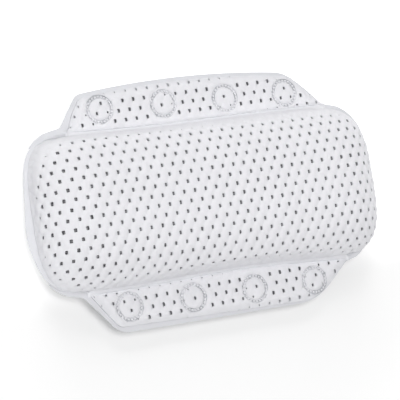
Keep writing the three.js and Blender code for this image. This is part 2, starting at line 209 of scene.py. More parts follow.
class Finish:
    """A material under construction, with one principled shader."""

    MIX_FACTOR, MIX_FIRST, MIX_SECOND, MIX_RESULT = 0, 6, 7, 2

    def __init__(self, name, **constants):
        self.material = bpy.data.materials.new(name)
        self.material.use_nodes = True
        self.tree = self.material.node_tree
        self.tree.nodes.clear()
        output = self.tree.nodes.new("ShaderNodeOutputMaterial")
        self.shader = self.tree.nodes.new("ShaderNodeBsdfPrincipled")
        self.tree.links.new(self.shader.outputs[0], output.inputs["Surface"])
        for socket, value in constants.items():
            self.feed(socket.replace("_", " "), value)

    def node(self, kind, settings, sockets, output=0):
        made = self.tree.nodes.new(kind)
        for name, value in settings.items():
            setattr(made, name, value)
        for key, value in sockets.items():
            connect(self.tree, made.inputs[key], value)
        return Wire(self.tree, made.outputs[output])

    def feed(self, socket, value):
        connect(self.tree, self.shader.inputs[socket], value)

    def place(self):
        return self.node("ShaderNodeTexCoord", {}, {}, "Object")

    def noise(self, scale, detail=2.0, roughness=0.5):
        sockets = {"Vector": self.place(), "Scale": scale, "Detail": detail, "Roughness": roughness}
        return self.node("ShaderNodeTexNoise", {}, sockets)

    def attribute(self, name):
        return self.node("ShaderNodeAttribute", {"attribute_name": name}, {}, "Fac")

    def mix(self, factor, first, second):
        shade = {self.MIX_FACTOR: factor, self.MIX_FIRST: first, self.MIX_SECOND: second}
        return self.node("ShaderNodeMix", {"data_type": "RGBA"}, shade, self.MIX_RESULT)

    def mottle(self, factor, tone, dark, light):
        """A tone that varies between two strengths of itself."""
        return self.mix(factor, opaque(tone, dark), opaque(tone, light))

    def rise(self, value, low, high, first, last):
        """A smooth change from one number to another."""
        sockets = {"Value": value, "From Min": low, "From Max": high, "To Min": first, "To Max": last}
        return self.node("ShaderNodeMapRange", {"interpolation_type": "SMOOTHSTEP"}, sockets)

    def bump(self, height, distance, strength=1.0):
        sockets = {"Height": height, "Distance": distance, "Strength": strength}
        self.feed("Normal", self.node("ShaderNodeBump", {}, sockets))


def opaque(tone, gain=1.0):
    return (*(channel * gain for channel in tone), 1.0)


def foam_finish(colours):
    """Foamed sheet: soft matt skin with fine pores, smoother where it is welded, with painted shade darkening
    it deep inside the holes.
    """
    finish = Finish("foamed sheet", Specular_IOR_Level=0.35)
    welded = finish.attribute("weld")
    cloud = finish.noise(scale=38.0, detail=3.0)
    skin = finish.mottle(cloud, colours.foam, dark=0.975, light=1.02)
    skin = finish.mix(welded * 0.5, skin, opaque(colours.film))
    # Painted shade: the deeper a point lies in a hole, the nearer its colour comes to the dark hole shade,
    # except on welded foam.
    painted_shade_share = finish.attribute("depth") ** 0.55 * (1 - welded)
    finish.feed("Base Color", finish.mix(painted_shade_share, skin, opaque(colours.hole_painted_shade)))
    pores = finish.noise(scale=1400.0, detail=3.0, roughness=0.6)
    finish.feed("Roughness", 0.50 + pores * 0.16 - welded * 0.14)
    finish.bump(pores, distance=0.16 * MM, strength=0.55)
    return finish.material


def film_finish(colours):
    """Smooth film: satin, with shallow ripples and a fine grain."""
    finish = Finish("smooth film", Specular_IOR_Level=0.45)
    ripple = finish.noise(scale=55.0)
    grain = finish.noise(scale=1100.0)
    finish.feed("Base Color", finish.mottle(ripple, colours.film, dark=0.95, light=1.04))
    finish.feed("Roughness", 0.30 + ripple * 0.12 + grain * 0.06)
    finish.bump(ripple * 4.0 + grain * 0.25, distance=0.35 * MM, strength=0.6)
    return finish.material


def fibre_finish(colours):
    """Loose wadding, seen only behind the holes, coloured dark grey as painted shade."""
    finish = Finish("fibre wadding", Specular_IOR_Level=0.1, Roughness=0.95)
    strands = finish.noise(scale=420.0, detail=6.0, roughness=0.7)
    finish.feed("Base Color", finish.mottle(strands, colours.fibre, dark=0.6, light=1.4))
    finish.bump(strands, distance=0.8 * MM)
    return finish.material


def thread_finish(colours):
    """Knitted thread behind the foam."""
    finish = Finish("knitted thread", Specular_IOR_Level=0.2, Roughness=0.8)
    twist = finish.noise(scale=2600.0)
    finish.feed("Base Color", finish.mottle(twist, colours.thread, dark=0.8, light=1.2))
    finish.bump(twist, distance=0.08 * MM)
    return finish.material


def weld_finish(colours):
    """Fused plastic: pressed smooth by the welding tool, with a faint flow. Its grey track is partly the
    plastic's tone and partly painted shade in the groove, and the beads take the foam's colour.
    """
    finish = Finish("fused weld", Specular_IOR_Level=0.5)
    flow = finish.noise(scale=700.0)
    track = finish.mottle(flow, colours.weld, dark=0.94, light=1.05)
    # Painted shade in part: the track stays grey and the beads take the foam's colour.
    finish.feed("Base Color", finish.mix(finish.attribute("tooth"), track, opaque(colours.foam)))
    finish.feed("Roughness", 0.26 + flow * 0.14)
    finish.bump(flow, distance=0.10 * MM, strength=0.5)
    return finish.material


def cup_finish(colours):
    """Clear soft moulding, slightly milky, with faint flow marks."""
    finish = Finish("clear soft plastic", Specular_IOR_Level=0.5, IOR=1.5, Transmission_Weight=0.8)
    flow = finish.noise(scale=160.0, detail=3.0)
    finish.feed("Base Color", finish.mottle(flow, colours.cup, dark=0.94, light=1.03))
    finish.feed("Roughness", 0.16 + flow * 0.16)
    finish.bump(flow, distance=0.12 * MM, strength=0.4)
    return finish.material


SHOWING_RAYS = ("Camera", "Glossy", "Transmission")
# Painted light on the floor: where the shadow in front of the pillow gives way to a stronger glow behind it,
# how strong the glow is on either side, and where it turns white far from the pillow.
SHADOW_END = (-90 * MM, -40 * MM)
FLOOR_GLOW = (0.12, 0.55)
FLOOR_FADE = (0.2, 0.8)


def seen(tree):
    """One for rays that show the background, and zero for rays that light the object."""
    path = tree.nodes.new("ShaderNodeLightPath")
    camera, glossy, through = (Wire(tree, path.outputs[f"Is {kind} Ray"]) for kind in SHOWING_RAYS)
    return camera + glossy + through


def floor_finish(colours):
    """Studio floor: matt, with painted light: it glows to the camera, weakly near the pillow's front, where
    its shadow falls, and more strongly behind the pillow and far from it, which washes out the shade there.
    """
    finish = Finish("studio floor", Specular_IOR_Level=0.0, Roughness=1.0, Emission_Strength=1.0)
    finish.feed("Base Color", opaque(colours.floor))
    forward = finish.node("ShaderNodeSeparateXYZ", {}, {"Vector": finish.place()}, "Y")
    away = finish.node("ShaderNodeVectorMath", {"operation": "LENGTH"}, {0: finish.place()}, "Value")
    # Painted light: the glow rises behind the pillow and far from it.
    glow = finish.rise(forward, *SHADOW_END, *FLOOR_GLOW) + finish.rise(away, *FLOOR_FADE, 0.0, 1.0)
    finish.feed("Emission Color", finish.mix(glow * seen(finish.tree), opaque((0, 0, 0)), opaque((1, 1, 1))))
    return finish.material


# Modelling helpers.

# How near points lie that are joined, in repeated tiles and on a trimmed edge.
WELD_REACH = 0.01 * MM
TRIM_REACH = 0.02 * MM
LEAST_UPWARD = 0.5
STRAIGHT = math.radians(89)


def deselect():
    bpy.ops.object.select_all(action="DESELECT")


def activate(piece):
    deselect()
    piece.select_set(True)
    bpy.context.view_layer.objects.active = piece


def rename(piece, name):
    piece.name = piece.data.name = name
    return piece


def named(name):
    """The object that was added last, with its own name."""
    return rename(bpy.context.active_object, name)


def read(parts, field):
    """A vector of each vertex or face, one to a row."""
    flat = np.zeros(len(parts) * 3)
    parts.foreach_get(field, flat)
    return flat.reshape(-1, 3)


def points(piece):
    return read(piece.data.vertices, "co")


def move_points(piece, places):
    piece.data.vertices.foreach_set("co", np.asarray(places, np.float32).ravel())
    piece.data.update()


def write_attribute(piece, name, values):
    attribute = piece.data.attributes.new(name, "FLOAT", "POINT")
    attribute.data.foreach_set("value", np.asarray(values, np.float32))


def edit(kind, action="SELECT"):
    """Opens edit mode on the active piece, with everything selected or nothing."""
    bpy.ops.object.mode_set(mode="EDIT")
    bpy.ops.mesh.select_mode(type=kind)
    bpy.ops.mesh.select_all(action=action)


def leave_edit():
    bpy.ops.object.mode_set(mode="OBJECT")


def choose(piece, kind, chosen):
    """Opens edit mode with the chosen vertices or faces selected, given as one flag for each."""
    edit(kind, "DESELECT")
    leave_edit()
    parts = {"VERT": piece.data.vertices, "FACE": piece.data.polygons}[kind]
    parts.foreach_set("select", np.asarray(chosen, bool))
    bpy.ops.object.mode_set(mode="EDIT")


def delete(piece, kind, chosen):
    choose(piece, kind, chosen)
    bpy.ops.mesh.delete(type=kind)
    leave_edit()


def flip():
    """Turns the active piece's faces round."""
    edit("FACE")
    bpy.ops.mesh.flip_normals()
    leave_edit()


def faces_up(piece):
    """Turns an open sheet's faces up."""
    if np.mean(read(piece.data.polygons, "normal")[:, 2]) < 0:
        flip()


def merge(reach):
    """Joins the active piece's points that lie within reach of each other."""
    edit("VERT")
    bpy.ops.mesh.remove_doubles(threshold=reach)
    leave_edit()


def modify(piece, kind, **settings):
    """Adds a modifier and applies it."""
    modifier = piece.modifiers.new(kind.title(), kind)
    for name, value in settings.items():
        setattr(modifier, name, value)
    bpy.context.view_layer.objects.active = piece
    bpy.ops.object.modifier_apply(modifier=modifier.name)


def settle(piece):
    """Moves the object's place into its mesh."""
    activate(piece)
    bpy.ops.object.transform_apply(location=True, rotation=True, scale=True)


def smooth(piece, degrees):
    """Shades a piece smooth, except across edges sharper than an angle."""
    activate(piece)
    bpy.ops.object.shade_smooth_by_angle(angle=math.radians(degrees))


def thicken(piece, thickness):
    """Makes a sheet solid, downwards from its upper face."""
    modify(piece, "SOLIDIFY", thickness=thickness, offset=-1.0, use_rim=True, use_even_offset=False)


def flat_grid(name, columns, rows, size, middle=(0, 0)):
    """A flat sheet of so many faces each way."""
    deselect()
    bpy.ops.mesh.primitive_grid_add(x_subdivisions=columns, y_subdivisions=rows, size=1)
    sheet = named(name)
    sheet.scale = (*size, 1)
    sheet.location = (*middle, 0)
    settle(sheet)
    return sheet


def draw_out(profile):
    """Extrudes what is selected from radius to radius and level to level, round the upright axis."""
    for (radius, level), (next_radius, next_level) in zip(profile, profile[1:]):
        growth = next_radius / radius
        bpy.ops.mesh.extrude_region_move(TRANSFORM_OT_translate={"value": (0, 0, next_level - level)})
        bpy.ops.transform.resize(value=(growth, growth, 1), center_override=(0, 0, next_level))


def ramp(low, high, value):
    share = np.clip((value - low) / (high - low), 0.0, 1.0)
    return share * share * (3.0 - 2.0 * share)


def run_of(*coordinates):
    """Distance so far along rows of points."""
    steps = np.sqrt(sum(np.diff(line, axis=-1) ** 2 for line in coordinates))
    start = np.zeros(steps.shape[:-1] + (1,))
    return np.concatenate([start, np.cumsum(steps, axis=-1)], axis=-1)


class Outline:
    """A closed plan outline that sheets are cut to."""

    BLOCK = 2000
    LEAST_SQUARE = 1e-18

    def __init__(self, corners):
        self.corners = np.asarray(corners, float)
        self.nexts = np.roll(self.corners, -1, axis=0)

    def holds(self, places):
        (x, y), (ax, ay), (bx, by) = places.T[:, :, None], self.corners.T[:, None], self.nexts.T[:, None]
        spans = (ay > y) != (by > y)
        with np.errstate(divide="ignore", invalid="ignore"):
            crossing = ax + (y - ay) * (bx - ax) / (by - ay)
        return (np.sum(spans & (x < crossing), axis=1) % 2).astype(bool)

    def nearest(self, places):
        """The outline's nearest point to each place."""
        found = np.empty_like(places)
        along = self.nexts - self.corners
        squared = np.maximum(np.sum(along**2, axis=1), self.LEAST_SQUARE)
        for start in range(0, len(places), self.BLOCK):
            block = places[start : start + self.BLOCK]
            share = np.sum((block[:, None] - self.corners) * along, axis=2) / squared
            feet = self.corners + np.clip(share, 0, 1)[:, :, None] * along
            best = np.argmin(np.sum((feet - block[:, None]) ** 2, axis=2), axis=1)
            found[start : start + self.BLOCK] = feet[np.arange(len(block)), best]
        return found

    def depth(self, places):
        """How far inside the outline each place is."""
        gap = np.linalg.norm(self.nearest(places) - places, axis=1)
        return np.where(self.holds(places), gap, -gap)


def trim(piece, outline):
    """Cuts a flat sheet to an outline: faces outside it go, and points just outside move onto it. Faces that
    are left with no width, or turned over, go too."""
    outside = ~outline.holds(points(piece)[:, :2])
    delete(piece, "FACE", [all(outside[list(face.vertices)]) for face in piece.data.polygons])
    flat = points(piece)
    outside = ~outline.holds(flat[:, :2])
    flat[outside, :2] = outline.nearest(flat[outside, :2])
    move_points(piece, flat)
    merge(TRIM_REACH)
    delete(piece, "FACE", read(piece.data.polygons, "normal")[:, 2] < LEAST_UPWARD)


def rounded(corners, radii, steps=10):
    """A closed outline through the corners, each turned on an arc of its radius."""
    spots = [complex(*corner) for corner in corners]
    path = []
    for before, spot, after, radius in zip(spots[-1:] + spots[:-1], spots, spots[1:] + spots[:1], radii):
        inward, onward = ((other - spot) / abs(other - spot) for other in (before, after))
        half = abs(cmath.phase(onward / inward)) / 2
        if radius == 0 or half > STRAIGHT:
            path.append(spot)
            continue
        middle = (inward + onward) / abs(inward + onward)
        centre = spot + middle * radius / math.sin(half)
        first, last = (spot + way * radius / math.tan(half) - centre for way in (inward, onward))
        sweep = cmath.phase(last / first) * np.linspace(0, 1, steps + 1)
        path.extend(centre + first * np.exp(1j * sweep))
    return np.column_stack([np.real(path), np.imag(path)])


# The cushion's domed surface.

FOOT_SPREAD = 1.2 * MM
LOOP_STEPS = 20001


class Dome:
    """The cushion's outer surface, on which places are given by their distances along it from the crown."""

    STATIONS = 400
    SHARES = 300
    OUTLINE_STEP = 4
    FOOT_POINTS = 240
    LEAST_FULLNESS = 1e-5
    LEAST_SPAN = 1e-9

    def __init__(self, sizes):
        self.length = COVER_HIGH.x
        self.width = COVER_HIGH.y + FOOT_SPREAD
        self.foot = COVER_LOW.z
        self.rise = sizes.dome_rise
        self.powers = sizes.end_power, sizes.side_power, sizes.shoulder_power
        turn = np.linspace(0, math.pi / 2, self.STATIONS)
        self.along = self.length * np.sin(turn) ** (2 / sizes.end_power)
        self.along_run = run_of(self.along, self.level(self.along, 0.0))
        self.reach = self.plan_reach(self.along)
        across = self.reach[:, None] * np.sin(turn) ** (2 / sizes.side_power)
        across_run = run_of(across, self.level(self.along[:, None], across))
        self.span = across_run[:, -1]
        shares = np.linspace(0, 1, self.SHARES)
        self.table = np.array([np.interp(shares * run[-1], run, row) for run, row in zip(across_run, across)])

    def fullness(self, x, y):
        end, side, _ = self.powers
        return 1 - np.abs(x / self.length) ** end - np.abs(y / self.width) ** side

    def plan_reach(self, x):
        end, side, _ = self.powers
        return self.width * np.maximum(0, 1 - np.abs(x / self.length) ** end) ** (1 / side)

    def level(self, x, y):
        return self.foot + self.rise * np.maximum(0, self.fullness(x, y)) ** (1 / self.powers[2])

    def normal(self, x, y):
        end, side, shoulder = self.powers
        fullness = np.maximum(self.fullness(x, y), self.LEAST_FULLNESS)
        steep = self.rise / shoulder * fullness ** (1 / shoulder - 1)
        slope_x = steep * end * np.abs(x / self.length) ** (end - 1) * np.sign(x) / self.length
        slope_y = steep * side * np.abs(y / self.width) ** (side - 1) * np.sign(y) / self.width
        facing = np.column_stack([slope_x, slope_y, np.ones_like(slope_x)])
        return facing / np.linalg.norm(facing, axis=1)[:, None]

    def span_at(self, u):
        return np.interp(np.abs(u), self.along_run, self.span)

    def to_foot(self, places):
        """Distances along the surface to its foot, at the side and at the end."""
        u, v = places[:, 0], places[:, 1]
        return self.span_at(u) - np.abs(v), self.along_run[-1] - np.abs(u)

    def lay(self, places):
        """The surface's points at distances along and across, and the way that each faces."""
        u, v = places[:, 0], places[:, 1]
        place = np.interp(np.abs(u), self.along_run, np.arange(self.STATIONS))
        row = np.minimum(place.astype(int), self.STATIONS - 2)
        down = place - row
        span = np.maximum(self.span_at(u), self.LEAST_SPAN)
        share = np.clip(np.abs(v) / span, 0, 1) * (self.SHARES - 1)
        column = np.minimum(share.astype(int), self.SHARES - 2)
        over = share - column
        near = self.table[row, column] * (1 - over) + self.table[row, column + 1] * over
        far = self.table[row + 1, column] * (1 - over) + self.table[row + 1, column + 1] * over
        x = np.sign(u) * np.interp(np.abs(u), self.along_run, self.along)
        y = np.sign(v) * (near * (1 - down) + far * down)
        return np.column_stack([x, y, self.level(x, y)]), self.normal(x, y)

    def flat_outline(self):
        """The foot as distances along the surface."""
        right = np.column_stack([self.along_run, self.span])
        quarter = np.vstack([right[: -1 : self.OUTLINE_STEP], right[-1:]])
        upper = np.vstack([quarter[::-1], quarter * (-1, 1)])
        lower = np.vstack([quarter[::-1] * (-1, -1), quarter * (1, -1)])
        return Outline(np.vstack([upper, lower]))

    def foot_outline(self):
        """The foot in plan."""
        return Outline(even_loop(self.length, self.width, *self.powers[:2], self.FOOT_POINTS))


class SidePull(NamedTuple):
    """How far in the filling draws a long side, where along it, and over what reach."""

    depth: float
    middle: float
    reach: float


PULL_RAMP = (59 * MM, 72 * MM)
SIDE_PULLS = {
    "upper": SidePull(4.7 * MM, -75 * MM, 120 * MM),
    "lower": SidePull(5.2 * MM, 25 * MM, 100 * MM),
}


def side_pull(x, side):
    pull = SIDE_PULLS[side]
    return pull.depth * np.exp(-(((x - pull.middle) / pull.reach) ** 2))


def pulled_in(places):
    """Cushion places with the feet of both long sides drawn in between the corners."""
    y = places[:, 1].copy()
    for side, sign in SIDES.items():
        y -= sign * side_pull(places[:, 0], side) * ramp(*PULL_RAMP, sign * places[:, 1])
    return np.column_stack([places[:, 0], y, places[:, 2]])


def even_loop(length, width, end_power, side_power, count):
    """Points spaced evenly round a squared oval."""
    turn = np.linspace(0, 2 * math.pi, LOOP_STEPS)
    x = length * np.sign(np.cos(turn)) * np.abs(np.cos(turn)) ** (2 / end_power)
    y = width * np.sign(np.sin(turn)) * np.abs(np.sin(turn)) ** (2 / side_power)
    run = run_of(x, y)
    even = np.linspace(0, run[-1], count, endpoint=False)
    return np.column_stack([np.interp(even, run, x), np.interp(even, run, y)])


# The perforated foam sheet.

# Faces in a tile and in its hole, the shape of the bumps, and how far the holes differ by chance.
GRID_COLUMNS = 8
GRID_ROWS = 7
HOLE_COLUMNS = 2
HOLE_ROWS = 3
CORNER_DRAW = 0.88
CREASE_SHARPNESS = 0.7
CREASE_SHARE = 0.5
CHANCE_WAVES = (12.9898, 78.233)
CHANCE_GAIN = 43758.5453
SIZE_CHANCE = 0.07
TURN_CHANCE = 0.10
HOLE_FADE = 0.28
LEAST_OPENING = 0.1


class Lattice:
    """Staggered rows of holes, turned a little against the pillow."""

    def __init__(self, sizes, phase, stretch=1.0):
        self.sizes = sizes
        self.stretch = np.array((stretch, 1.0))
        self.half = sizes.hole_pitch / 2
        self.row = sizes.row_pitch
        turn = sizes.lattice_skew
        self.turn = np.array([[math.cos(turn), math.sin(turn)], [-math.sin(turn), math.cos(turn)]])
        self.phase = np.array(phase)

    def place(self, sheet):
        return (sheet * self.stretch) @ self.turn + self.phase

    def unplace(self, places):
        return (places - self.phase) @ self.turn.T / self.stretch

    def hole_of(self, sheet):
        """The middle of the nearest hole, on the sheet."""
        rows = np.round(sheet[:, 1] / self.row)
        halves = 2 * np.round((sheet[:, 0] / self.half - rows) / 2) + rows
        return np.column_stack([halves * self.half, rows * self.row])

    def bump(self, sheet):
        """One on the bumps, zero at the holes and low in the creases that run from hole to hole."""
        columns, rows = sheet[:, 0] / self.half, sheet[:, 1] / self.row
        rising = np.abs(np.sin(math.pi * (columns + rows) / 2))
        falling = np.abs(np.sin(math.pi * (columns - rows) / 2))
        lozenge = (rising * falling) ** CREASE_SHARPNESS
        egg_box = (rising**2 + falling**2) / 2
        return CREASE_SHARE * lozenge + (1 - CREASE_SHARE) * egg_box

    def chance(self, holes, seed):
        """A steady random number from -1 to 1 for each hole."""
        along, across = holes[:, 0] / self.half, holes[:, 1] / self.row
        value = np.sin(along * CHANCE_WAVES[0] + across * CHANCE_WAVES[1] + seed) * CHANCE_GAIN
        return 2 * (value - np.floor(value)) - 1


def hole_half(sizes):
    """Half the width and half the length of a tile's hole."""
    width = sizes.hole_pitch * HOLE_COLUMNS / GRID_COLUMNS
    length = sizes.row_pitch * HOLE_ROWS / GRID_ROWS
    return np.array((width, length)) / 2


def stagger(sizes):
    """Copies the open tile to the next row, half a pitch along, and closes it."""
    bpy.ops.mesh.select_all(action="SELECT")
    step = (sizes.hole_pitch / 2, sizes.row_pitch, 0)
    bpy.ops.mesh.duplicate_move(TRANSFORM_OT_translate={"value": step})
    leave_edit()


def foam_tile(sizes):
    """Two staggered holes with the foam round them, flat on the floor plane."""
    tile = flat_grid("foam_tile", GRID_COLUMNS, GRID_ROWS, (sizes.hole_pitch, sizes.row_pitch))
    half = hole_half(sizes)
    choose(tile, "FACE", np.all(np.abs(read(tile.data.polygons, "center")[:, :2]) < half, axis=1))
    bpy.ops.mesh.inset(thickness=sizes.hole_lip)
    bpy.ops.mesh.delete(type="FACE")
    leave_edit()
    places = points(tile)
    out = np.abs(places[:, :2])
    corner = np.all((out < half - sizes.hole_lip / 2) & (out > half / 2), axis=1)
    places[corner, :2] *= CORNER_DRAW
    move_points(tile, places)
    edit("VERT")
    stagger(sizes)
    return tile


def repeat(tile, sizes, tiles):
    """Repeats a tile in both directions, with a hole at the origin."""
    columns, row_pairs = tiles
    steps = ((columns, (sizes.hole_pitch, 0, 0)), (row_pairs, (0, 2 * sizes.row_pitch, 0)))
    for count, offset in steps:
        modify(
            tile, "ARRAY", count=count, use_relative_offset=False, use_constant_offset=True,
            constant_offset_displace=offset, use_merge_vertices=True, merge_threshold=WELD_REACH,
        )
    merge(WELD_REACH)
    places = points(tile)
    places[:, 0] -= columns // 2 * sizes.hole_pitch
    places[:, 1] -= row_pairs // 2 * 2 * sizes.row_pitch
    move_points(tile, places)


def shrink_holes(piece, lattice, opening):
    """Draws each hole in by the share that it is open, with small differences from hole to hole."""
    sizes = lattice.sizes
    places = points(piece)
    sheet = places[:, :2]
    holes = lattice.hole_of(sheet)
    local = sheet - holes
    spread = np.max(np.abs(local) / (sizes.hole_pitch, sizes.row_pitch), axis=1)
    near = np.clip((0.5 - spread) / HOLE_FADE, 0, 1)
    share = opening(lattice.place(holes)) * (1 + SIZE_CHANCE * lattice.chance(holes, seed=1.0))[:, None]
    turn = TURN_CHANCE * lattice.chance(holes, seed=2.0) * near
    turned = np.column_stack([local[:, 0] - turn * local[:, 1], local[:, 1] + turn * local[:, 0]])
    places[:, :2] = holes + turned * (1 - (1 - np.maximum(share, LEAST_OPENING)) * near[:, None])
    move_points(piece, places)


def foam_sheet(name, lattice, tiles, opening, outline):
    """A flat sheet of foam, cut to an outline. Returns the piece, its flat places, its bumps, how deep in the
    sheet each point is, and how far each point of a hole's lip turns down."""
    sizes = lattice.sizes
    piece = rename(foam_tile(sizes), name)
    repeat(piece, sizes, tiles)
    shrink_holes(piece, lattice, opening)
    places = points(piece)
    places[:, :2] = lattice.place(places[:, :2])
    move_points(piece, places)
    trim(piece, outline)
    upper = points(piece)
    thicken(piece, sizes.foam_thickness)
    flat = np.vstack([upper, upper - (0, 0, sizes.foam_thickness)])
    sheet = lattice.unplace(flat[:, :2])
    depth = np.clip(-flat[:, 2] / sizes.foam_thickness, 0, 1)
    lip = np.all(np.abs(sheet - lattice.hole_of(sheet)) < hole_half(sizes) - sizes.hole_lip / 2, axis=1)
    drop = np.where(lip & (depth < 0.5), sizes.lip_drop, 0.0)
    # This depth also sets the painted shade inside the holes.
    write_attribute(piece, "depth", depth)
    return piece, flat, lattice.bump(sheet), depth, drop


COVER_PHASE = (-2.1 * MM, -3.55 * MM)
COVER_TILES = (40, 13)
COVER_OPENING = 1.05
UPPER_BAND_LEAST = 0.9
BAND_RAMP = (0.95 * FLANGE_ROOT, 0.75 * FLANGE_ROOT)
END_STRETCH = 0.3
STRETCH_RAMP = (90 * MM, 30 * MM)


def band_at(places, sizes):
    """Width of the plain band along the cover's foot. It narrows where no flange holds the foam."""
    upper = places[:, 1] > 0
    widest = np.where(upper, sizes.upper_band, sizes.lower_band)
    least = np.where(upper, UPPER_BAND_LEAST * sizes.upper_band, sizes.end_band)
    return least + (widest - least) * ramp(*BAND_RAMP, np.abs(places[:, 0]))


def cover_opening(dome, sizes):
    """How far open the cover's holes are, along and across, at places on it. The ends stretch them along."""

    def share(places):
        to_side, to_end = dome.to_foot(places)
        band = band_at(places, sizes)
        sides = ramp(band, band + sizes.band_fade, to_side)
        ends = ramp(sizes.end_band, sizes.end_band + sizes.band_fade, to_end)
        stretched = COVER_OPENING + END_STRETCH * ramp(*STRETCH_RAMP, to_end)
        return (sides * ends)[:, None] * np.column_stack([stretched, np.full(len(places), COVER_OPENING)])

    return share


# Flange outlines, as distances along the fold and out from it.

FLANGE_PHASES = {"upper": (4.4 * MM, 6.9 * MM), "lower": (6.6 * MM, 5.7 * MM)}
FLANGE_STRETCHES = {"upper": 1.0, "lower": 0.987}
FLANGE_TILES = (30, 5)
FLANGE_OPENING = (1.25, 1.08)
FLANGE_START = 1.0 * MM
FOLD_RAMP = (0.5 * MM, 4.0 * MM)
EDGE_BOWS = {"upper": 6.0 * MM, "lower": 0.0}
EDGE_STEP = 4 * MM
LEAST_BOW = -0.2
BOW_RAMP = (0.4 * FLANGE_DEPTH, 0.9 * FLANGE_DEPTH)
PULL_FADE = (0.4 * FLANGE_DEPTH, 0.1 * FLANGE_DEPTH)
ROOT_FLARE = ((30 * MM, -14 * MM), (23 * MM, -7 * MM), (15 * MM, -2 * MM), (6 * MM, 0.2 * MM))
FLARE_END = 2 * MM
FLARE_RADII = (0, 6 * MM, 6 * MM, 6 * MM, 8 * MM)
FLARE_SHARES = {"upper": (1.0, 1.0), "lower": (1.0, 0.6)}
RING_RADIUS = (RING_HIGH.x - RING_LOW.x) / 2 - 1.4 * MM
RING_RAMP = (1.5 * MM, 5.5 * MM)
RING_CLOSING = 0.85
BORDER_SHARE = 1.2
BORDER_LEAST, RING_LEAST, FOLD_LEAST = 0.2, 0.2, 0.25


class FlangeEnd(NamedTuple):
    """One slanted end of a flange: how far in from the frame's it stands at the fold and at the outer edge,
    its corner's radius, and how far in from the frame's outer edge the flange ends there."""

    root: float
    tip: float
    corner: float
    margin: float

    def half_length(self, out):
        """How far the flange reaches along the fold towards this end, so far out from the fold."""
        share = out / FLANGE_DEPTH
        return FLANGE_ROOT - out - self.root * (1 - share) - self.tip * share

    def point(self, out):
        return (self.half_length(out), out)

    def outer_point(self):
        return self.point(FLANGE_DEPTH - self.margin)


def flange_ends(*ends):
    """The left and right ends of a flange, from sizes in millimetres."""
    return [FlangeEnd(*(size * MM for size in end)) for end in ends]


FOAM_ENDS = {
    "upper": flange_ends((8, -6, 8, 6.5), (0.8, 0.8, 30, 3.3)),
    "lower": flange_ends((6.5, -2, 10, 2.4), (1.8, 6.6, 55, 1.8)),
}
FILM_ENDS = {
    "upper": flange_ends((2, -10.5, 8, 2.5), (0, 0, 30, 0)),
    "lower": flange_ends((0, -5.5, 20, -3), (1.0, 5.8, 55, 0)),
}


def bowed(path, side):
    """A closed path with enough points on its long edges for its outer edge to bulge in the middle."""
    closed = np.vstack([path, path[:1]])
    run = run_of(*closed.T)
    steps = np.union1d(np.arange(0, run[-1], EDGE_STEP), run[:-1])
    x, y = (np.interp(steps, run, axis) for axis in closed.T)
    share = np.clip(1 - (x / (FLANGE_ROOT - FLANGE_DEPTH)) ** 2, LEAST_BOW, 1)
    bulge = EDGE_BOWS[side] * share * ramp(*BOW_RAMP, y)
    return np.column_stack([x, y + bulge])


def flange_outline(side, start):
    """A flange's foam, which starts so far from the seam and leaves a margin of film outside it."""
    left, right = FOAM_ENDS[side]
    corners = np.array([left.point(start), right.point(start), right.outer_point(), left.outer_point()])
    corners[[0, 3], 0] *= -1
    path = bowed(rounded(corners, (0, 0, right.corner, left.corner)), side)
    path[:, 1] -= side_pull(path[:, 0], side) * ramp(*PULL_FADE, path[:, 1])
    return Outline(path)


def film_outline(side):
    """The film behind a flange, which runs under the cushion's rim and flares out beside the root."""
    halves = []
    for end, share in zip(FILM_ENDS[side], FLARE_SHARES[side]):
        flare = [(FLANGE_ROOT + share * out, share * back) for out, back in ROOT_FLARE]
        halves.append(flare + [end.point(FLARE_END), end.outer_point()])
    corners = halves[1] + [(-along, out) for along, out in reversed(halves[0])]
    left, right = FILM_ENDS[side]
    radii = [*FLARE_RADII, right.corner, left.corner, *reversed(FLARE_RADII)]
    return Outline(bowed(rounded(corners, radii), side))


def ring_places(side):
    """Middles of a flange's rings, as distances along the fold and out from it."""
    boxes = [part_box(f"weld_ring_{side}_{number}") for number in CUP_NUMBERS]
    middles = [(low + high) / 2 for low, high in boxes]
    return np.array([(middle.x, abs(middle.y) - FOLD_Y) for middle in middles])


def ring_gap(places, side):
    """Distance from the nearest ring's middle."""
    gaps = np.linalg.norm(places[:, None] - ring_places(side)[None], axis=2)
    return np.min(gaps, axis=1)


def from_seam(places, side):
    """Distance out from the seam, which the cushion draws in from the fold."""
    return places[:, 1] + side_pull(places[:, 0], side)


def at_least(least, share):
    """A share that starts from a least value instead of zero."""
    return least + (1 - least) * share


def flange_opening(side, free_edge, sizes):
    """How far open a flange's holes are at places on it: small by the border, the fold and the rings."""

    def share(places):
        gap = ring_gap(places, side)
        border = ramp(0.0, BORDER_SHARE * sizes.border_width, free_edge.depth(places))
        rings = ramp(*RING_RAMP, np.abs(gap - RING_RADIUS))
        fold = ramp(*FOLD_RAMP, from_seam(places, side))
        inside = np.where(gap < RING_RADIUS, RING_CLOSING, 1.0)
        held = at_least(BORDER_LEAST, border) * at_least(RING_LEAST, rings) * at_least(FOLD_LEAST, fold)
        return (held * inside)[:, None] * FLANGE_OPENING

    return share


def turn_out(places, side):
    """Flange places, as distances along and out from the fold, in the pillow's frame."""
    return np.column_stack([places[:, 0], SIDES[side] * (FOLD_Y + places[:, 1]), places[:, 2]])


def face_right(side):
    """The lower side is a mirror image, so the active piece's faces are turned round."""
    if SIDES[side] < 0:
        flip()


def turn_sheet(piece, side, places, thickness):
    """Gives a flat sheet its levels and its thickness, and turns it out from the fold."""
    move_points(piece, places)
    faces_up(piece)
    thicken(piece, thickness)
    move_points(piece, turn_out(points(piece), side))
    face_right(side)


def bend_at_fold(piece, side):
    """Bakes a sheet's placing into its mesh."""
    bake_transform(piece)


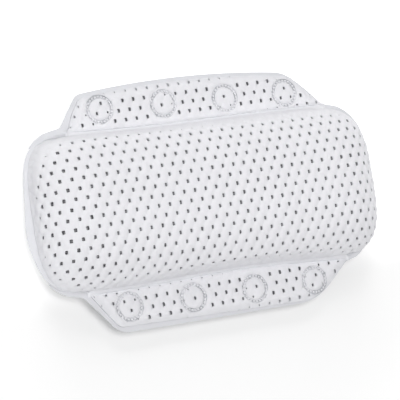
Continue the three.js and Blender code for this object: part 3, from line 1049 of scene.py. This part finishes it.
def dress(piece, finish):
    piece.data.materials.clear()
    piece.data.materials.append(finish)


# Pieces.

END_FLARE = 1.8 * MM
FLARE_RAMP = (FLANGE_ROOT, FLANGE_ROOT + 15 * MM)
WELD_EDGE = 0.5 * MM
THREADED_OPENING = 0.6
THREAD_STEP = 0.6


class BATHPILLOW_OT_cover(bpy.types.Operator):
    """Lays the perforated foam sheet over the dome"""

    bl_idname = "bath_pillow.cover"
    bl_label = "Domed Cover"

    def execute(self, context):
        sizes = context.scene.bath_pillow_sizes
        dome = Dome(sizes)
        lattice = Lattice(sizes, COVER_PHASE)
        piece, flat, bump, depth, drop = foam_sheet(
            "domed_cover", lattice, COVER_TILES, cover_opening(dome, sizes), dome.flat_outline()
        )
        base, facing = dome.lay(flat)
        to_side, to_end = dome.to_foot(flat)
        to_foot = np.minimum(to_side, to_end)
        band = band_at(flat, sizes)
        puffed = ramp(0.5 * band, band + sizes.band_fade, to_side) * ramp(0, sizes.band_fade, to_end)
        rise = (sizes.foam_puff * bump * puffed - drop) * (1 - depth) - sizes.foam_thickness * depth
        flare = END_FLARE * ramp(*FLARE_RAMP, np.abs(base[:, 0])) * (1 - ramp(0, 2 * END_FLARE, to_foot))
        base += facing * (1, 1, 0) * flare[:, None]
        move_points(piece, pulled_in(base + facing * rise[:, None]))
        write_attribute(piece, "weld", 1 - ramp(WELD_EDGE, band, to_foot))
        smooth(piece, degrees=50)
        dress(piece, foam_finish(context.scene.bath_pillow_colours))
        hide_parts("front_cover")
        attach(piece, "cushion")
        return {"FINISHED"}


class BATHPILLOW_OT_threads(bpy.types.Operator):
    """Crosses the cover's wider holes with the knitted threads of the foam's backing"""

    bl_idname = "bath_pillow.threads"
    bl_label = "Knitted Threads"

    def execute(self, context):
        sizes = context.scene.bath_pillow_sizes
        dome = Dome(sizes)
        lattice = Lattice(sizes, COVER_PHASE)
        piece = rename(thread_tile(sizes), "cover_threads")
        repeat(piece, sizes, COVER_TILES)
        holes = lattice.hole_of(points(piece)[:, :2])
        delete(piece, "VERT", cover_opening(dome, sizes)(lattice.place(holes))[:, 1] < THREADED_OPENING)
        places = points(piece)
        base, facing = dome.lay(lattice.place(places[:, :2]))
        move_points(piece, pulled_in(base + facing * places[:, 2:]))
        smooth(piece, degrees=40)
        dress(piece, thread_finish(context.scene.bath_pillow_colours))
        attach(piece, "cushion")
        return {"FINISHED"}


def thread_tile(sizes):
    """One crossing of two threads at each hole of a tile."""
    reach = 2 * hole_half(sizes)
    width = sizes.thread_width
    upper, lower = -sizes.thread_depth, -sizes.thread_depth - THREAD_STEP * width
    deselect()
    bpy.ops.mesh.primitive_cube_add(size=1, location=(0, 0, upper))
    tile = named("thread_tile")
    tile.scale = (reach[0], width, width)
    settle(tile)
    edit("VERT")
    bpy.ops.mesh.primitive_cube_add(size=1, location=(0, 0, lower))
    bpy.ops.transform.resize(value=(width, reach[1], width), center_override=(0, 0, lower))
    stagger(sizes)
    return tile


class BATHPILLOW_OT_wadding(bpy.types.Operator):
    """Fills the cushion with fibre wadding"""

    bl_idname = "bath_pillow.wadding"
    bl_label = "Fibre Wadding"

    INSET = 3 * MM
    LOOP_POINTS = 720
    EDGE_POWER = 0.6
    COVER_DEPTH = 2.2
    FILM_GAP = 0.4 * MM
    EDGE_HEIGHT = 2 * MM

    def execute(self, context):
        sizes = context.scene.bath_pillow_sizes
        dome = Dome(sizes)
        deselect()
        bpy.ops.mesh.primitive_uv_sphere_add(segments=96, ring_count=40, radius=1)
        piece = named("fibre_wadding")
        ball = points(piece)
        turn = np.arctan2(ball[:, 1], ball[:, 0])
        reach = FILLING_HIGH.x - self.INSET, FILLING_HIGH.y - self.INSET
        loop = even_loop(*reach, sizes.end_power, sizes.side_power, self.LOOP_POINTS)
        loop_turn = np.unwrap(np.arctan2(loop[:, 1] / FILLING_HIGH.y, loop[:, 0] / FILLING_HIGH.x))
        wanted = np.mod(turn - loop_turn[0], 2 * math.pi) + loop_turn[0]
        edge = np.column_stack([np.interp(wanted, loop_turn, axis) for axis in loop.T])
        share = np.sqrt(np.clip(1 - ball[:, 2] ** 2, 0, 1)) ** self.EDGE_POWER
        plan = edge * share[:, None]
        crown = dome.level(plan[:, 0], plan[:, 1]) - self.COVER_DEPTH * sizes.foam_thickness
        floor = BACKING_HIGH.z + self.FILM_GAP - back_bulge(plan)
        middle = np.maximum(floor, dome.foot + self.EDGE_HEIGHT)
        level = np.where(ball[:, 2] > 0, np.maximum(crown, middle), floor)
        move_points(piece, pulled_in(np.column_stack([plan, level])))
        smooth(piece, degrees=80)
        dress(piece, fibre_finish(context.scene.bath_pillow_colours))
        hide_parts("fibre_filling")
        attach(piece, "cushion")
        return {"FINISHED"}


# Squareness of the back's bulge along and across, and how softly it starts.
BULGE_ALONG, BULGE_ACROSS, BULGE_START = 4, 2, 1.5


def back_bulge(plan):
    """How far the filling pushes the back film out."""
    bulge = BACKING_LOW.z - PANEL_LOW.z
    along, across = np.abs(plan[:, 0] / FILLING_HIGH.x), np.abs(plan[:, 1] / FILLING_HIGH.y)
    return bulge * np.maximum(0, 1 - (across**BULGE_ACROSS + along**BULGE_ALONG)) ** BULGE_START


class BATHPILLOW_OT_back_sheet(bpy.types.Operator):
    """Closes the back with a smooth film whose rim shows round the dome"""

    bl_idname = "bath_pillow.back_sheet"
    bl_label = "Back Sheet"

    LOOP_POINTS = 320
    SHARES = (0.994, 0.985, 0.975, 0.965, 0.955, 0.945, 0.935, 0.92, 0.90, 0.87, 0.83, 0.78, 0.72, 0.65, 0.57,
              0.48, 0.38, 0.28, 0.18, 0.09)
    RIM_POWER = 8
    BULGE_PLACE, BULGE_REACH, BULGE_RAMP = -15 * MM, 24 * MM, (0.9, 1.0)
    TUCK_ALONG, TUCK_ACROSS = (0.7, 0.95), (0.4, 0.75)
    DISH = 0.2 * MM
    WAVES = (17 * MM, 13 * MM)
    FOOT_RAMP = (-4 * MM, 0)

    def execute(self, context):
        sizes = context.scene.bath_pillow_sizes
        dome = Dome(sizes)
        deselect()
        bpy.ops.mesh.primitive_circle_add(vertices=self.LOOP_POINTS, radius=1, fill_type="NOTHING")
        piece = named("back_sheet")
        edit("VERT")
        draw_out([(share, 0.0) for share in (1.0, *self.SHARES)])
        bpy.ops.mesh.edge_face_add()
        bpy.ops.mesh.poke()
        bpy.ops.mesh.select_all(action="SELECT")
        bpy.ops.mesh.normals_make_consistent(inside=False)
        leave_edit()
        disc = points(piece)
        loop = even_loop(PANEL_HIGH.x, PANEL_HIGH.y, sizes.end_power, sizes.side_power, self.LOOP_POINTS)
        turn = np.mod(np.arctan2(disc[:, 1], disc[:, 0]), 2 * math.pi) / (2 * math.pi) * self.LOOP_POINTS
        step = np.round(turn).astype(int) % self.LOOP_POINTS
        radius = np.linalg.norm(disc[:, :2], axis=1)
        plan = loop[step] * radius[:, None]
        rim = radius**self.RIM_POWER
        along, across = plan[:, 0] / PANEL_HIGH.x, plan[:, 1] / PANEL_HIGH.y
        bulge = np.exp(-(((plan[:, 1] - self.BULGE_PLACE) / self.BULGE_REACH) ** 2))
        bulge *= ramp(*self.BULGE_RAMP, -along) * rim
        corner = ramp(*self.TUCK_ALONG, along) * ramp(*self.TUCK_ACROSS, -across) * rim
        plan[:, 0] -= sizes.rim_bulge * bulge
        plan += sizes.corner_tuck * corner[:, None] * (-1, 1)
        move_points(piece, np.column_stack([plan, self.level(plan, dome)]))
        faces_up(piece)
        thicken(piece, sizes.film_thickness)
        smooth(piece, degrees=60)
        dress(piece, film_finish(context.scene.bath_pillow_colours))
        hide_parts("back_panel")
        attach(piece, "cushion")
        return {"FINISHED"}

    def level(self, plan, dome):
        """Upper face of the film: pushed out under the filling, and dished along the rim."""
        out = -dome.foot_outline().depth(plan)
        share = np.clip(out / (PANEL_HIGH.x - dome.length), 0, 1)
        wave = np.sin(plan[:, 0] / self.WAVES[0]) * np.sin(plan[:, 1] / self.WAVES[1] + 1.0)
        rim = PANEL_HIGH.z + self.DISH * (1 - ramp(0.0, 0.5, share) + wave * share)
        foot = ramp(*self.FOOT_RAMP, out) * (PANEL_HIGH.z - BACKING_HIGH.z)
        return np.where(out > 0, rim, BACKING_HIGH.z - back_bulge(plan) + foot)


class BothSides:
    """An operator's work on both sides of the cushion, with one finish."""

    def execute(self, context):
        finish = self.finish(context.scene.bath_pillow_colours)
        for side in SIDES:
            self.make(side, context.scene.bath_pillow_sizes, finish)
        return {"FINISHED"}


class BATHPILLOW_OT_flanges(BothSides, bpy.types.Operator):
    """Makes the foam of both flanges, with its welded border and the grooves of the rings"""

    bl_idname = "bath_pillow.flanges"
    bl_label = "Flange Foam"
    finish = staticmethod(foam_finish)

    BEDDING = 0.15 * MM
    ROOT_LIFT, ROOT_RAMP = 1.5 * MM, (1.5 * MM, 0)
    VALLEY_DROP = 0.4 * MM
    RISE_RAMP, LEAST_RISE = (0.6 * MM, 2.6 * MM), 0.3
    RING_PILLOW = 0.3 * MM
    RING_HOLD, HOLD_REACH = 0.7, 5 * MM
    PUFF_SHARE = 0.6

    def make(self, side, sizes, finish):
        outline = flange_outline(side, FLANGE_START)
        free_edge = flange_outline(side, -FOLD_Y / 2)
        lattice = Lattice(sizes, FLANGE_PHASES[side], FLANGE_STRETCHES[side])
        if SIDES[side] < 0:
            lattice.turn = lattice.turn.T
        opening = flange_opening(side, free_edge, sizes)
        piece, flat, bump, depth, drop = foam_sheet(
            f"{side}_flange_foam", lattice, FLANGE_TILES, opening, outline
        )
        places = flat[:, :2]
        field = ramp(0.0, 2.0 * sizes.border_width, free_edge.depth(places))
        upper = self.level(places, side, field, sizes) + self.puff(places, side, sizes) * bump * field - drop
        lower = FLANGE_LOW.z - self.BEDDING + self.ROOT_LIFT * ramp(*self.ROOT_RAMP, places[:, 1])
        placed = np.column_stack([places, np.where(depth < 0.5, upper, lower)])
        move_points(piece, turn_out(placed, side))
        face_right(side)
        write_attribute(piece, "weld", 1 - field)
        smooth(piece, degrees=50)
        dress(piece, finish)
        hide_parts(f"{side}_flange_mesh")
        bend_at_fold(piece, side)

    def level(self, places, side, field, sizes):
        """The foam's upper face without its bumps: low along the border, with a groove under each ring."""
        gap = ring_gap(places, side)
        border = FLANGE_LOW.z + sizes.border_thickness
        foam = FLANGE_HIGH.z - self.VALLEY_DROP
        at_fold = ramp(*self.RISE_RAMP, from_seam(places, side))
        groove = np.exp(-((np.abs(gap - RING_RADIUS) / (sizes.groove_width / 2)) ** 4))
        pillow = np.clip(1 - (gap / RING_RADIUS) ** 2, 0, 1)
        raised = border + (foam - border) * field * at_least(self.LEAST_RISE, at_fold)
        return raised + self.RING_PILLOW * pillow - sizes.groove_depth * groove

    def puff(self, places, side, sizes):
        """Rise of the bumps, which the rings and the fold hold down."""
        to_ring = np.abs(ring_gap(places, side) - RING_RADIUS)
        held = 1 - self.RING_HOLD * np.exp(-((to_ring / self.HOLD_REACH) ** 2))
        return self.PUFF_SHARE * sizes.foam_puff * held * ramp(*FOLD_RAMP, from_seam(places, side))


class BATHPILLOW_OT_backings(BothSides, bpy.types.Operator):
    """Makes the film behind each flange, which runs under the cushion's rim"""

    bl_idname = "bath_pillow.backings"
    bl_label = "Flange Backing"
    finish = staticmethod(film_finish)

    GRID = (170, 44)
    GRID_MARGIN = 1.02

    def make(self, side, sizes, finish):
        outline = film_outline(side)
        low, high = outline.corners.min(axis=0), outline.corners.max(axis=0)
        size, middle = (high - low) * self.GRID_MARGIN, (low + high) / 2
        piece = flat_grid(f"{side}_flange_film", *self.GRID, size, middle)
        trim(piece, outline)
        flat = points(piece)
        flat[:, 2] = BACKING_HIGH.z
        turn_sheet(piece, side, flat, sizes.film_thickness)
        smooth(piece, degrees=60)
        dress(piece, finish)
        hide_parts(f"{side}_flange_backing")
        bend_at_fold(piece, side)


class BATHPILLOW_OT_seams(BothSides, bpy.types.Operator):
    """Presses a strip along each fold, where the foam meets the film and bends"""

    bl_idname = "bath_pillow.seams"
    bl_label = "Seam Welds"
    finish = staticmethod(weld_finish)

    GRID = (240, 16)
    START = -1.5 * MM
    DEPTH = 1.4 * MM
    CREASE_WIDTH = 0.4 * MM
    TICK_WIDTH, TICK_LENGTH = 0.06, 0.8 * MM
    END_LEVEL, END_TAPER = 0.7 * MM, 7 * MM
    THICKNESS_SHARE = 0.6
    TOOTH = 0.8

    def make(self, side, sizes, finish):
        dome = Dome(sizes)
        left, right = (end.half_length(self.START) for end in FOAM_ENDS[side])
        size, middle = (left + right, sizes.seam_width), ((right - left) / 2, 0)
        piece = flat_grid(f"{side}_seam", *self.GRID, size, middle)
        strip = points(piece)
        x, y = strip[:, 0].copy(), strip[:, 1].copy()
        inward = 0.5 - y / sizes.seam_width
        beat = np.abs(x / sizes.hole_pitch % 1 - 0.5)
        crease = np.exp(-(((y - FLANGE_START) / self.CREASE_WIDTH) ** 2))
        tick = np.exp(-((beat / self.TICK_WIDTH) ** 2) - (y / self.TICK_LENGTH) ** 2)
        level = FLANGE_HIGH.z - self.DEPTH + sizes.seam_rise * inward**3
        level -= sizes.seam_dip * np.maximum(crease, tick)
        lowest = BACKING_HIGH.z + self.END_LEVEL
        to_end = np.minimum(x + left, right - x)
        strip[:, 2] = lowest + (level - lowest) * ramp(0, self.END_TAPER, to_end)
        gap = dome.width - dome.plan_reach(x)
        strip[:, 1] -= side_pull(x, side) + gap * ramp(0.5, 1.0, inward)
        turn_sheet(piece, side, strip, self.THICKNESS_SHARE * sizes.film_thickness)
        write_attribute(piece, "tooth", np.full(len(piece.data.vertices), self.TOOTH))
        smooth(piece, degrees=50)
        dress(piece, finish)
        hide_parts(f"{side}_seam_weld")
        bend_at_fold(piece, side)


def copies(pattern, kind, ending):
    """Copies of a pattern, each with its own mesh, standing on the frame's pieces of one kind."""
    for side in SIDES:
        for number in CUP_NUMBERS:
            node = f"{kind}_{side}_{number}"
            low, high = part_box(node)
            piece = pattern.copy()
            piece.data = pattern.data.copy()
            rename(piece, f"{node}_{ending}")
            bpy.context.scene.collection.objects.link(piece)
            foot = ((low.x + high.x) / 2, (low.y + high.y) / 2, low.z)
            piece.location = foot
            settle(piece)
            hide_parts(node)
            yield piece, side, number, foot


class BATHPILLOW_OT_rings(bpy.types.Operator):
    """Presses a beaded weld ring into the foam over each suction cup"""

    bl_idname = "bath_pillow.rings"
    bl_label = "Weld Rings"

    TRACK_SHARE = 0.85
    WALL_LEAN = 0.2 * MM
    WALL_RISE = 1.0 * MM
    WALL_THICKNESS = 0.35 * MM
    BEAD_SHARES = (0.62, 0.66)
    BEAD_HEIGHT, BEAD_LEVEL = 1.5 * MM, 0.9 * MM
    BEAD_ROUNDING = 0.45 * MM
    SEGMENTS = 96

    def execute(self, context):
        sizes = context.scene.bath_pillow_sizes
        finish = weld_finish(context.scene.bath_pillow_colours)
        pattern = self.model(sizes)
        for piece, side, _, _ in copies(pattern, "weld_ring", "beads"):
            dress(piece, finish)
            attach(piece, f"{side}_flange")
        bpy.data.objects.remove(pattern)
        return {"FINISHED"}

    def model(self, sizes):
        """A pressed channel with a circle of rounded beads in it, centred on the origin."""
        width = self.TRACK_SHARE * sizes.groove_width
        inner, outer = RING_RADIUS - width / 2, RING_RADIUS + width / 2
        lean, rise = self.WALL_LEAN, self.WALL_RISE
        track = ((inner - lean, rise), (inner, 0), (outer, 0), (outer + lean, rise))
        deselect()
        bpy.ops.mesh.primitive_circle_add(vertices=self.SEGMENTS, radius=track[0][0], fill_type="NOTHING")
        ring = named("ring_pattern")
        ring.location = (0, 0, rise)
        settle(ring)
        edit("EDGE")
        draw_out(track)
        leave_edit()
        faces_up(ring)
        thicken(ring, self.WALL_THICKNESS)
        deselect()
        step = 2 * math.pi * RING_RADIUS / sizes.ring_beads
        bpy.ops.mesh.primitive_cube_add(size=1, location=(RING_RADIUS, 0, self.BEAD_LEVEL))
        bead = named("bead_pattern")
        bead.scale = (self.BEAD_SHARES[0] * width, self.BEAD_SHARES[1] * step, self.BEAD_HEIGHT)
        settle(bead)
        modify(bead, "BEVEL", width=self.BEAD_ROUNDING, segments=2, limit_method="NONE")
        edit("VERT")
        bpy.ops.mesh.spin(
            steps=sizes.ring_beads, dupli=True, angle=2 * math.pi, center=(0, 0, 0), axis=(0, 0, 1)
        )
        leave_edit()
        merge(WELD_REACH)
        write_attribute(bead, "tooth", np.ones(len(bead.data.vertices)))
        activate(ring)
        bead.select_set(True)
        bpy.ops.object.join()
        smooth(ring, degrees=60)
        return ring


def curve(start, pull, end, count=12):
    """Points on a curve from start to end, drawn towards a third point."""
    share = np.linspace(0, 1, count)[:, None]
    return (1 - share) ** 2 * start + 2 * share * (1 - share) * pull + share * share * end


class BATHPILLOW_OT_cups(bpy.types.Operator):
    """Moulds the suction cups, which flatten when they are pressed on a wall"""

    bl_idname = "bath_pillow.cups"
    bl_label = "Suction Cups"

    DISC_RADIUS, DISC_THICKNESS, DISC_ROUNDING = 12.75 * MM, 1.3 * MM, 0.3 * MM
    NECK_RADIUS, NECK_ROUNDING = 5 * MM, 0.5 * MM
    SKIRT_TOP, SKIRT_FALL = 3.5 * MM, 2.2 * MM
    LIP_WIDTH, LIP_HEIGHT, LIP_ROUNDING = 1.6 * MM, 0.7 * MM, (0.2 * MM, 0.25 * MM)
    HOLLOW_DEPTH, HOLLOW_TOP = 5.2 * MM, 0.3 * MM
    SEGMENTS = 72

    def execute(self, context):
        finish = cup_finish(context.scene.bath_pillow_colours)
        pattern = self.model()
        for piece, side, number, foot in copies(pattern, "suction_cup", "moulding"):
            dress(piece, finish)
            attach(piece, f"cup_{side}_{number}")
            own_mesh(piece)
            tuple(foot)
        bpy.data.objects.remove(pattern)
        return {"FINISHED"}

    def model(self):
        """Weld disc, neck and bell with a flat lip, drawn from the disc's top down and back up inside."""
        height = CUP_HIGH.z - CUP_LOW.z
        lip = (CUP_HIGH.y - CUP_LOW.y) / 2
        disc, neck, hollow = self.DISC_RADIUS, self.NECK_RADIUS, lip - self.LIP_WIDTH
        soft, throat = self.DISC_ROUNDING, self.NECK_ROUNDING
        under, skirt = height - self.DISC_THICKNESS, height - self.SKIRT_TOP
        bell = curve(*np.array([(neck, skirt), (hollow, skirt - self.SKIRT_FALL), (lip, self.LIP_HEIGHT)]))
        roof = [(hollow / 2, self.HOLLOW_DEPTH), (self.HOLLOW_TOP, self.HOLLOW_DEPTH)]
        inside = curve(*np.array([(hollow, 0), *roof]))
        profile = [
            (disc - soft, height), (disc, height - soft), (disc, under + soft), (disc - soft, under),
            (neck + throat, under), (neck, under - throat), *bell,
            (lip, self.LIP_ROUNDING[1]), (lip - self.LIP_ROUNDING[0], 0), *inside,
        ]
        deselect()
        bpy.ops.mesh.primitive_circle_add(
            vertices=self.SEGMENTS, radius=profile[0][0], fill_type="NGON", location=(0, 0, profile[0][1])
        )
        piece = named("cup_pattern")
        settle(piece)
        edit("FACE")
        bpy.ops.mesh.flip_normals()
        bpy.ops.mesh.select_all(action="SELECT")
        draw_out(profile)
        bpy.ops.mesh.select_all(action="SELECT")
        bpy.ops.mesh.normals_make_consistent(inside=False)
        leave_edit()
        smooth(piece, degrees=40)
        return piece


# Stage.

CAMERA_YAW = math.radians(25.63)
CAMERA_PITCH = math.radians(-4.7)
CAMERA_ROLL = math.radians(8.95)
CAMERA_DISTANCE = 1.585
CAMERA_LENS = 154.1
SENSOR_WIDTH = 36
VIEW_END = 50
CAMERA_AIM = Vector((0, 0, 15.5 * MM))
CAMERA_OFFSET = Vector((-8.45 * MM, -3.28 * MM, 0))
SKY_LIGHT = 0.20
FLOOR_SIZE = 12
# Each lamp's place and width in metres, and its power in watts.
LAMPS = {
    "key": ((0.05, 2.6, 1.5), 1.2, 27.0),
    "overhead": ((0.0, 0.1, 2.6), 1.6, 35.0),
    "low fill": ((-0.4, -2.6, 0.6), 2.0, 19.0),
    "left fill": ((-2.6, -0.3, 0.8), 1.6, 20.0),
    "right fill": ((2.6, 0.0, 1.0), 1.6, 8.0),
}


class BATHPILLOW_OT_stage(bpy.types.Operator):
    """Sets the floor, the studio lights and the camera"""

    bl_idname = "bath_pillow.stage"
    bl_label = "Stage"

    def execute(self, context):
        scene = context.scene
        scene.view_settings.view_transform = "Standard"
        deselect()
        bpy.ops.mesh.primitive_plane_add(size=FLOOR_SIZE, location=(0, 0, 0))
        floor = named("floor")
        floor.data.materials.append(floor_finish(scene.bath_pillow_colours))
        floor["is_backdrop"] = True
        self.sky(scene)
        for name, (place, size, power) in LAMPS.items():
            self.lamp(name, place, size, power)
        self.camera(scene)
        return {"FINISHED"}

    def sky(self, scene):
        """Even light from all round, white to the camera."""
        world = bpy.data.worlds.new("studio")
        scene.world = world
        world.use_nodes = True
        tree = world.node_tree
        background = tree.nodes["Background"]
        background.inputs["Color"].default_value = opaque((1, 1, 1))
        connect(tree, background.inputs["Strength"], seen(tree) * (1 - SKY_LIGHT) + SKY_LIGHT)

    def lamp(self, name, place, size, power):
        deselect()
        bpy.ops.object.light_add(type="AREA", location=place)
        lamp = bpy.context.active_object
        lamp.name = name
        lamp.data.size = size
        lamp.data.energy = power
        lamp.rotation_euler = (-Vector(place)).to_track_quat("-Z", "Y").to_euler()

    def camera(self, scene):
        deselect()
        bpy.ops.object.camera_add()
        camera = bpy.context.active_object
        turn = (
            Matrix.Rotation(-CAMERA_YAW, 3, "Y")
            @ Matrix.Rotation(-CAMERA_PITCH, 3, "X")
            @ Matrix.Rotation(-CAMERA_ROLL, 3, "Z")
        )
        camera.location = CAMERA_AIM + turn @ (CAMERA_OFFSET + Vector((0, 0, CAMERA_DISTANCE)))
        camera.rotation_euler = turn.to_euler()
        camera.data.lens = CAMERA_LENS
        camera.data.sensor_width = SENSOR_WIDTH
        camera.data.clip_end = VIEW_END
        scene.camera = camera


OPERATORS = (
    BATHPILLOW_OT_stage,
    BATHPILLOW_OT_wadding,
    BATHPILLOW_OT_cover,
    BATHPILLOW_OT_threads,
    BATHPILLOW_OT_back_sheet,
    BATHPILLOW_OT_flanges,
    BATHPILLOW_OT_backings,
    BATHPILLOW_OT_seams,
    BATHPILLOW_OT_rings,
    BATHPILLOW_OT_cups,
)


class BATHPILLOW_PT_panel(bpy.types.Panel):
    """Lists the pillow's pieces"""

    bl_idname = "BATHPILLOW_PT_panel"
    bl_label = "Bath Pillow"
    bl_space_type = "VIEW_3D"
    bl_region_type = "UI"
    bl_category = "Bath Pillow"

    def draw(self, context):
        for operator in OPERATORS:
            self.layout.operator(operator.bl_idname)
        for group in (context.scene.bath_pillow_sizes, context.scene.bath_pillow_colours):
            box = self.layout.box()
            for name in group.__annotations__:
                box.prop(group, name)


CLASSES = (BathPillowSizes, BathPillowColours, *OPERATORS, BATHPILLOW_PT_panel)


def register():
    for cls in CLASSES:
        bpy.utils.register_class(cls)
    bpy.types.Scene.bath_pillow_sizes = PointerProperty(type=BathPillowSizes)
    bpy.types.Scene.bath_pillow_colours = PointerProperty(type=BathPillowColours)


def unregister():
    del bpy.types.Scene.bath_pillow_colours
    del bpy.types.Scene.bath_pillow_sizes
    for cls in reversed(CLASSES):
        bpy.utils.unregister_class(cls)


def write_sizes():
    """Works out the frame's box and the dressed pillow's box."""
    boxes = {"cad": CAD_BOX, "visual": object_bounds()}
    {name: [list(low), list(high)] for name, (low, high) in boxes.items()}


def main():
    register()
    bpy.ops.bath_pillow.stage()
    bpy.ops.bath_pillow.wadding()
    bpy.ops.bath_pillow.cover()
    bpy.ops.bath_pillow.threads()
    bpy.ops.bath_pillow.back_sheet()
    bpy.ops.bath_pillow.flanges()
    bpy.ops.bath_pillow.backings()
    bpy.ops.bath_pillow.seams()
    bpy.ops.bath_pillow.rings()
    bpy.ops.bath_pillow.cups()
    write_sizes()


if __name__ == "__main__":
    main()
